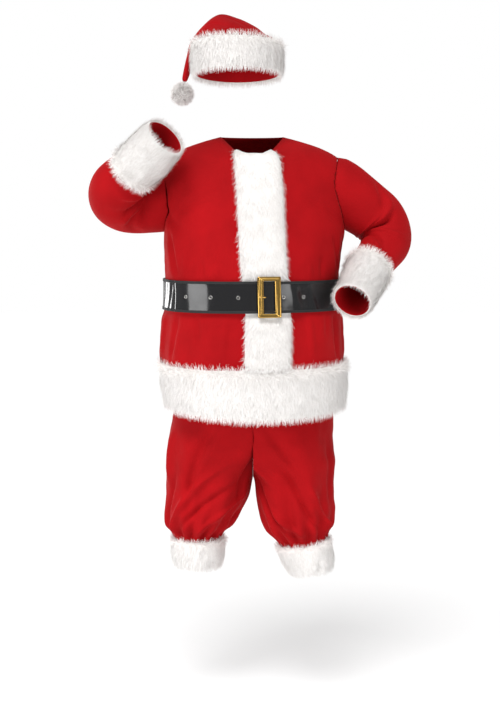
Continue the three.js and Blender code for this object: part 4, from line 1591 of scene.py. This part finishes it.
    def stitch(self, tree: bpy.types.NodeTree, name: str, height: float) -> None:
        """Sew one row of stitches along a binding's inner edge.

        Args:
            tree: the stitch tree.
            name: top or bottom, the binding that is sewn.
            height: height of the row.
        """
        turns = np.linspace(self.end + 0.3, 359.7 + self.start, 700)
        points = self.strap_point(turns, np.full_like(turns, height))
        base = self.body.bare(turns, np.full_like(turns, height))
        out = points - base
        out /= np.linalg.norm(out, axis=1, keepdims=True)
        points = points + out * (self.thick + SEAM + self.binding_thick + 0.1)
        mesh = bpy.data.meshes.new("stitch_guide")
        mesh.from_pydata((points * MM).tolist(), [(i, i + 1) for i in range(len(points) - 1)], [])
        row = bpy.data.objects.new(f"stitches_{name}", mesh)
        bpy.context.scene.collection.objects.link(row)
        row["node"] = f"belt_binding_{name}"
        values = {"Spacing": 3.4 * MM, "Length": 2.4 * MM, "Thickness": 0.7 * MM}
        step = row.modifiers.new("stitches", "NODES")
        step.node_group = tree
        for socket in tree.interface.items_tree:
            if socket.item_type == "SOCKET" and socket.in_out == "INPUT" and socket.name in values:
                step[socket.identifier] = values[socket.name]
        bake(row)
        row.data.shade_smooth()
        dress(row, self.wardrobe.thread)

    def face_lift(self, degrees: float) -> float:
        """Distance of the belt's outer face, over its bindings, from the bare form."""
        return float(self.inner(np.array(degrees))) + self.thick + self.binding_thick + 0.1

    def build_buckle(self) -> None:
        """Sweep the frame's hollowed rails round its window and lay the prong over one rail."""
        def loop(width: float, height: float, round_: float) -> Array:
            """A rounded rectangle, the same count of points at every size.

            Args:
                width: across.
                height: up.
                round_: radius of the corners.

            Returns:
                Its points, in order.
            """
            x, y, turns = width / 2 - round_, height / 2 - round_, np.linspace(0, math.pi / 2, 6)
            points = []
            for k, (cx, cy) in enumerate(((x, -y), (x, y), (-x, y), (-x, -y))):
                for t in turns - math.pi / 2 + k * math.pi / 2:
                    points.append((cx + round_ * math.cos(t), cy + round_ * math.sin(t)))
            return np.array(points)

        outer = loop(self.width, self.height, 4.0)
        inner = loop(self.width - 2 * self.rail, self.height - 2 * self.rail_top, 2.0)
        profile = ((0.0, 0.0), (0.0, 3.4), (0.04, 4.6), (0.1, 5.5), (0.18, 6.0), (0.3, 6.0), (0.4, 5.4),
                   (0.5, 4.4), (0.62, 3.7), (0.72, 3.8), (0.8, 4.6), (0.87, 5.0), (0.93, 4.6),
                   (0.98, 3.6), (1.0, 2.6), (1.0, 0.0))
        rings = [np.column_stack([outer + (inner - outer) * d, np.full(len(outer), h)]) for d, h in profile]
        points = np.concatenate(rings)
        count, rows = len(outer), len(profile)
        faces = [(j * count + i, j * count + (i + 1) % count, (j + 1) % rows * count + (i + 1) % count,
                  (j + 1) % rows * count + i) for j in range(rows) for i in range(count)]
        place = self.flat_frame(0.0, self.face_lift(0.0) + 3.5)
        frame_piece = make_object("buckle_frame", [place @ Vector(p) for p in points], faces)
        face_out(frame_piece)
        frame_piece.data.set_sharp_from_angle(angle=math.radians(50))
        dress(frame_piece, self.wardrobe.brass)
        # the prong is a short round-ended pin lying on the rail
        length, radius, ring = 20.0, 1.6, 16
        stations = [(-length / 2, 0.05), (-length / 2 + 0.3, 0.6), (-length / 2 + 1.1, 1.0),
                    (length / 2 - 1.1, 1.0), (length / 2 - 0.3, 0.6), (length / 2, 0.05)]
        pin, quads = [], []
        shift = -self.width / 2 + self.rail - 5
        for x, share in stations:
            for t in np.linspace(0, 2 * math.pi, ring, endpoint=False):
                pin.append((x + shift, radius * 1.25 * share * math.cos(t),
                            self.frame_thick + SEAM + radius + radius * share * math.sin(t) * 0.9))
        for j in range(len(stations) - 1):
            quads += [(j * ring + i, j * ring + (i + 1) % ring, (j + 1) * ring + (i + 1) % ring,
                       (j + 1) * ring + i)
                      for i in range(ring)]
        quads += [tuple(range(ring)), tuple(range(len(pin) - ring, len(pin)))[::-1]]
        prong = make_object("buckle_prong", [place @ Vector(p) for p in pin], quads)
        face_out(prong)
        dress(prong, self.wardrobe.brass)

    def build_eyelets(self) -> None:
        """Turn the rolled metal rings that stand in the belt's holes."""
        section = ((3.1, 0.0), (4.8, 0.0), (4.8, 0.5), (4.5, 1.1), (4.0, 1.4), (3.5, 1.3), (3.15, 0.8))
        steps = 40
        for k, degrees in enumerate(self.eyelets):
            place = self.flat_frame(degrees, float(self.inner(np.array(degrees))) + self.thick + 0.9)
            points = [place @ Vector((r * math.cos(t), r * math.sin(t), h)) for t in
                      np.linspace(0, 2 * math.pi, steps, endpoint=False) for r, h in section]
            n = len(section)
            faces = [(i * n + j, (i + 1) % steps * n + j, (i + 1) % steps * n + (j + 1) % n,
                      i * n + (j + 1) % n)
                     for i in range(steps) for j in range(n)]
            ring = make_object(f"eyelet_{k + 1}", points, faces)
            face_out(ring)
            dress(ring, self.wardrobe.steel)


@dataclass
class Trousers:
    """The trousers: two halves for each leg, a waistband and fur round the ankles."""

    wardrobe: Wardrobe
    crotch_x: float = 3.0
    broad: tuple = ((-35, -770, -1030, 7, 13), (-8, -820, -1040, -6, 11), (22, -740, -1000, 7, 13),
                    (48, -860, -1035, -6, 12), (150, -760, -1035, 8, 15), (-150, -780, -1035, 7, 15),
                    (95, -950, -1040, 7, 12), (-95, -960, -1045, 7, 12))
    names: str = "z outer inner front back y tilt"
    legs: dict = field(default_factory=dict)
    widths: dict = field(default_factory=lambda: {
        "trouser_front_right": 0.387, "trouser_back_right": 0.401,
        "trouser_front_left": 0.372, "trouser_back_left": 0.395})

    def __post_init__(self) -> None:
        """Lay out both legs."""
        right = Rows(self.names, [
            (-454, -201, 201, 152, 138, 0, 0), (-560, -209, 209, 165, 144, 0, 0),
            (-650, -211, 196, 164, 146, 0, 0), (-730, -214, 140, 150, 142, 0, 0),
            (-800, -226, 76, 136, 138, 0, 0), (-850, -230, 28, 124, 130, 0, 0),
            (-890, -233, 3, 116, 122, 0, 0), (-940, -233, -8, 108, 116, 0, 0),
            (-985, -231, -34, 102, 108, 0, 0), (-1026, -227, -58, 94, 98, 0, 0),
            (-1056, -211, -86, 74, 76, 0, 0), (-1136, -203, -94, 62, 64, 0, 0)])
        left = Rows(self.names, [
            (-454, 201, -201, 152, 138, 0, 0), (-560, 211, -211, 165, 144, 0, 0),
            (-650, 218, -196, 164, 146, 0, 0), (-730, 221, -140, 150, 142, 0, 0),
            (-800, 222, -76, 136, 138, -2, 0), (-850, 227, -28, 124, 130, -6, 0),
            (-890, 223, 5, 116, 122, -10, 0), (-945, 221, 14, 110, 116, -16, 0),
            (-990, 219, 27, 104, 108, -22, 0.03), (-1028, 214, 46, 94, 96, -26, 0.08),
            (-1062, 203, 76, 74, 74, -30, 0.14), (-1142, 212, 114, 60, 62, -34, 0.15)])
        right_creases = Creases([
            (-20, -725, -24, -985, -6, 11, 5), (44, -760, 52, -960, -6, 10, -4),
            (14, -840, -56, -1030, 6, 9, 9), (34, -900, -38, -1034, -5, 8, 9),
            (64, -935, 0, -1036, 5, 8, 7), (-50, -880, -76, -1022, -5, 8, 0),
            (-72, -760, -66, -900, 4, 12, 0), (120, -800, 112, -1030, -6, 11, 4),
            (160, -860, 178, -1034, 6, 10, 5), (-130, -840, -118, -1030, -6, 10, 0),
            (-165, -780, -172, -1000, -5, 10, 0), (80, -980, 60, -1040, -5, 7, 0)], 105)
        left_creases = Creases([
            (-58, -740, -34, -900, 6, 10, 5), (-70, -880, -22, -1032, -7, 9, 8),
            (-46, -960, 6, -1038, 5, 8, 6), (-12, -850, 36, -1030, -5, 9, 8),
            (20, -900, 66, -1036, 6, 8, 8), (-2, -730, 6, -860, -4, 12, 0),
            (60, -780, 66, -960, -4, 12, 0), (48, -700, 40, -820, 3, 13, 4),
            (120, -800, 128, -1030, -6, 11, 4), (160, -860, 150, -1034, 6, 10, 5),
            (-130, -840, -140, -1030, -6, 10, 0), (-165, -780, -160, -1000, -5, 10, 0)], 105)
        self.legs = {"right": LegForm(right, self.broad, right_creases, 71),
                     "left": LegForm(left, self.broad, left_creases, 83)}

    def build(self) -> None:
        """Build both legs, the waistband and the ankle fur."""
        gap = math.degrees(SEAM / 2 / 110)
        heights = np.linspace(-454, -1136, 128)
        trims = Trims(self.wardrobe)
        for k, (side, form) in enumerate(self.legs.items()):
            ends = np.linspace(-454, form.rows.data[-1, 0], len(heights))
            cuff = trims.band(f"fur_leg_cuff_{side}", form.cuff, np.linspace(0, 360, 90), 0.03, 0.92, 13.5,
                              Fur(self.wardrobe, per_cm2=24, length=15), 31 + k, up_share=0.2)
            halves = {"front": (-90 + gap, 90 - gap), "back": (90 + gap, 270 - gap)}
            for face, (low, high) in halves.items():
                name = f"trouser_{face}_{side}"
                piece = wall(name, form.point, np.linspace(low, high, 78), ends, -CLOTH / 2, CLOTH / 2)
                x = self.crotch_x + (SEAM / 2 if side == "left" else -SEAM / 2)
                trim_to_side(piece, x, side == "left")
                dress(piece, self.wardrobe.velour)
        row = self.legs["right"].rows.data[0]

        def waist(u: Array, v: Array) -> Array:
            """The waistband's ring, from its top at 0 to its lower edge at 1.

            Args:
                u: where round it, in degrees.
                v: how far down it.

            Returns:
                Places, in millimetres.
            """
            angle = np.radians(u)
            depth = np.where(np.cos(angle) > 0, row[3], row[4])
            return np.stack([
                row[2] * np.sin(angle), -depth * np.cos(angle), row[0] + SEAM + 38 * (1 - v)], -1)

        band = wall("trouser_waistband", waist, np.linspace(0, 360, 145), np.linspace(0, 1, 7),
                    -2.5, 2.5, True)
        dress(band, self.wardrobe.velour)


@dataclass
class Hat:
    """The hat: a crown that folds over, a fur brim and a pom-pom."""

    wardrobe: Wardrobe
    form: CrownForm = field(default_factory=CrownForm)
    pompom_radius: float = 31.0
    pompom_at: tuple = (-189.0, 74.0, 144.0)

    def build(self) -> None:
        """Build the crown, its brim and the pom-pom."""
        around = np.linspace(0, 360, 109)
        crown = wall("hat_crown", self.form.point, around, np.linspace(0, 1, 110),
                     -CLOTH / 2, CLOTH / 2, True)
        dress(crown, self.wardrobe.velour)
        start = 1 - 1 / (len(self.form.rows.data) - 1)
        brim = Trims(self.wardrobe).band(
            "fur_hat_brim", self.form.point, np.linspace(0, 360, 130), start, 1.0, 12,
            Fur(self.wardrobe, per_cm2=20, length=18), 51, up_share=0.4)
        ball = self.pompom()

    def pompom(self) -> bpy.types.Object:
        """The round pom-pom, its pile standing out on every side.

        Returns:
            The piece.
        """
        mesh = bpy.data.meshes.new("hat_pompom")
        work = bmesh.new()
        bmesh.ops.create_icosphere(work, subdivisions=4, radius=self.pompom_radius * 0.74 * MM)
        bmesh.ops.translate(work, vec=Vector(self.pompom_at) * MM, verts=work.verts)
        work.to_mesh(mesh)
        work.free()
        mesh.shade_smooth()
        ball = bpy.data.objects.new("made_hat_pompom", mesh)
        ball["node"] = "hat_pompom"
        bpy.context.scene.collection.objects.link(ball)
        points = np.array([v.co for v in mesh.vertices]) / MM - np.array(self.pompom_at)
        comb = points / np.linalg.norm(points, axis=1, keepdims=True) * 0.6
        comb[:, 2] -= 0.15
        fur = Fur(self.wardrobe, length=12, per_cm2=75, lift=0.8, clump=0.35)
        return Trims(self.wardrobe).finish(ball, comb, np.ones(len(points)), fur, 52)


# ------------------------------------------------------------------ studio
@dataclass
class Studio:
    """A pale floor, soft lights and the front camera."""

    floor_z: float = -1500.0
    eye: tuple = (-5.0, -4300.0, -120.0)
    aim: tuple = (-5.0, 0.0, -567.0)
    lens: float = 80.3
    room_light: float = 0.37

    def softbox(self, name: str, place: Sequence[float], target: Sequence[float],
                size: tuple[float, float], power: float) -> None:
        """Place one rectangular light that looks at a target.

        Args:
            name: the lamp's name.
            place: its middle, in metres.
            target: where it points, in metres.
            size: its two sides, in metres.
            power: its power, in watts.
        """
        lamp = bpy.data.lights.new(name, "AREA")
        lamp.shape = "RECTANGLE"
        lamp.size, lamp.size_y = size
        lamp.energy = power
        item = bpy.data.objects.new(name, lamp)
        item.location = place
        item.rotation_euler = (Vector(target) - Vector(place)).to_track_quat("-Z", "Y").to_euler()
        bpy.context.scene.collection.objects.link(item)

    def build(self) -> None:
        """Set up the floor, world, lights, camera and view."""
        scene = bpy.context.scene
        mesh = bpy.data.meshes.new("studio_floor")
        work = bmesh.new()
        bmesh.ops.create_circle(work, cap_ends=True, segments=96, radius=14)
        bmesh.ops.translate(work, vec=(0, 0, self.floor_z * MM), verts=work.verts)
        work.to_mesh(mesh)
        work.free()
        floor = bpy.data.objects.new("studio_floor", mesh)
        scene.collection.objects.link(floor)
        paper = bpy.data.materials.new("studio_paper")
        paper.use_nodes = True
        paper.node_tree.nodes["Principled BSDF"].inputs["Base Color"].default_value = (0.5, 0.5, 0.5, 1)
        paper.node_tree.nodes["Principled BSDF"].inputs["Roughness"].default_value = 0.9
        paper.node_tree.nodes["Principled BSDF"].inputs["Specular IOR Level"].default_value = 0.1
        paper.node_tree.nodes["Principled BSDF"].inputs["Emission Color"].default_value = (1, 1, 1, 1)
        paper.node_tree.nodes["Principled BSDF"].inputs["Emission Strength"].default_value = 0.5
        mesh.materials.append(paper)
        world = bpy.data.worlds.new("studio_world")
        world.use_nodes = True
        world.node_tree.nodes["Background"].inputs["Color"].default_value = (1, 1, 1, 1)
        # the room itself is dimmer than the white paper behind the suit
        rays = world.node_tree.nodes.new("ShaderNodeLightPath")
        level = world.node_tree.nodes.new("ShaderNodeMapRange")
        level.inputs["To Min"].default_value = self.room_light
        level.inputs["To Max"].default_value = 1.0
        world.node_tree.links.new(rays.outputs["Is Camera Ray"], level.inputs["Value"])
        world.node_tree.links.new(level.outputs["Result"],
                                  world.node_tree.nodes["Background"].inputs["Strength"])
        scene.world = world
        middle = (0, 0, -0.5)
        sun = bpy.data.lights.new("overhead_light", "SUN")
        sun.energy = 2.5
        sun.angle = math.radians(28)
        lamp = bpy.data.objects.new("overhead_light", sun)
        lamp.rotation_euler = (math.radians(33), 0, math.radians(-16))
        scene.collection.objects.link(lamp)
        self.softbox("left_strip", (-3.0, -2.2, -0.6), middle, (2.3, 1.4), 56)
        self.softbox("right_strip", (2.4, -2.9, -0.6), middle, (1.5, 1.3), 28)
        self.softbox("left_rim", (-2.4, 2.7, -0.45), middle, (0.9, 1.4), 22)
        lens = bpy.data.cameras.new("front_camera")
        lens.lens = self.lens
        lens.sensor_width = 36
        lens.clip_end = 100
        eye = bpy.data.objects.new("front_camera", lens)
        start, end = Vector(self.eye) * MM, Vector(self.aim) * MM
        eye.location = start
        eye.rotation_euler = (end - start).to_track_quat("-Z", "Y").to_euler()
        scene.collection.objects.link(eye)
        scene.camera = eye
        scene.view_settings.view_transform = "Standard"


def main() -> None:
    """Build the suit piece by piece."""
    logging.basicConfig(level=logging.INFO, format="%(name)s: %(message)s")
    wardrobe = Wardrobe()
    body = BodyForm()
    Jacket(wardrobe, body).build()
    Belt(wardrobe, body).build()
    Trousers(wardrobe).build()
    Hat(wardrobe).build()
    Studio().build()


if __name__ == "__main__":
    main()
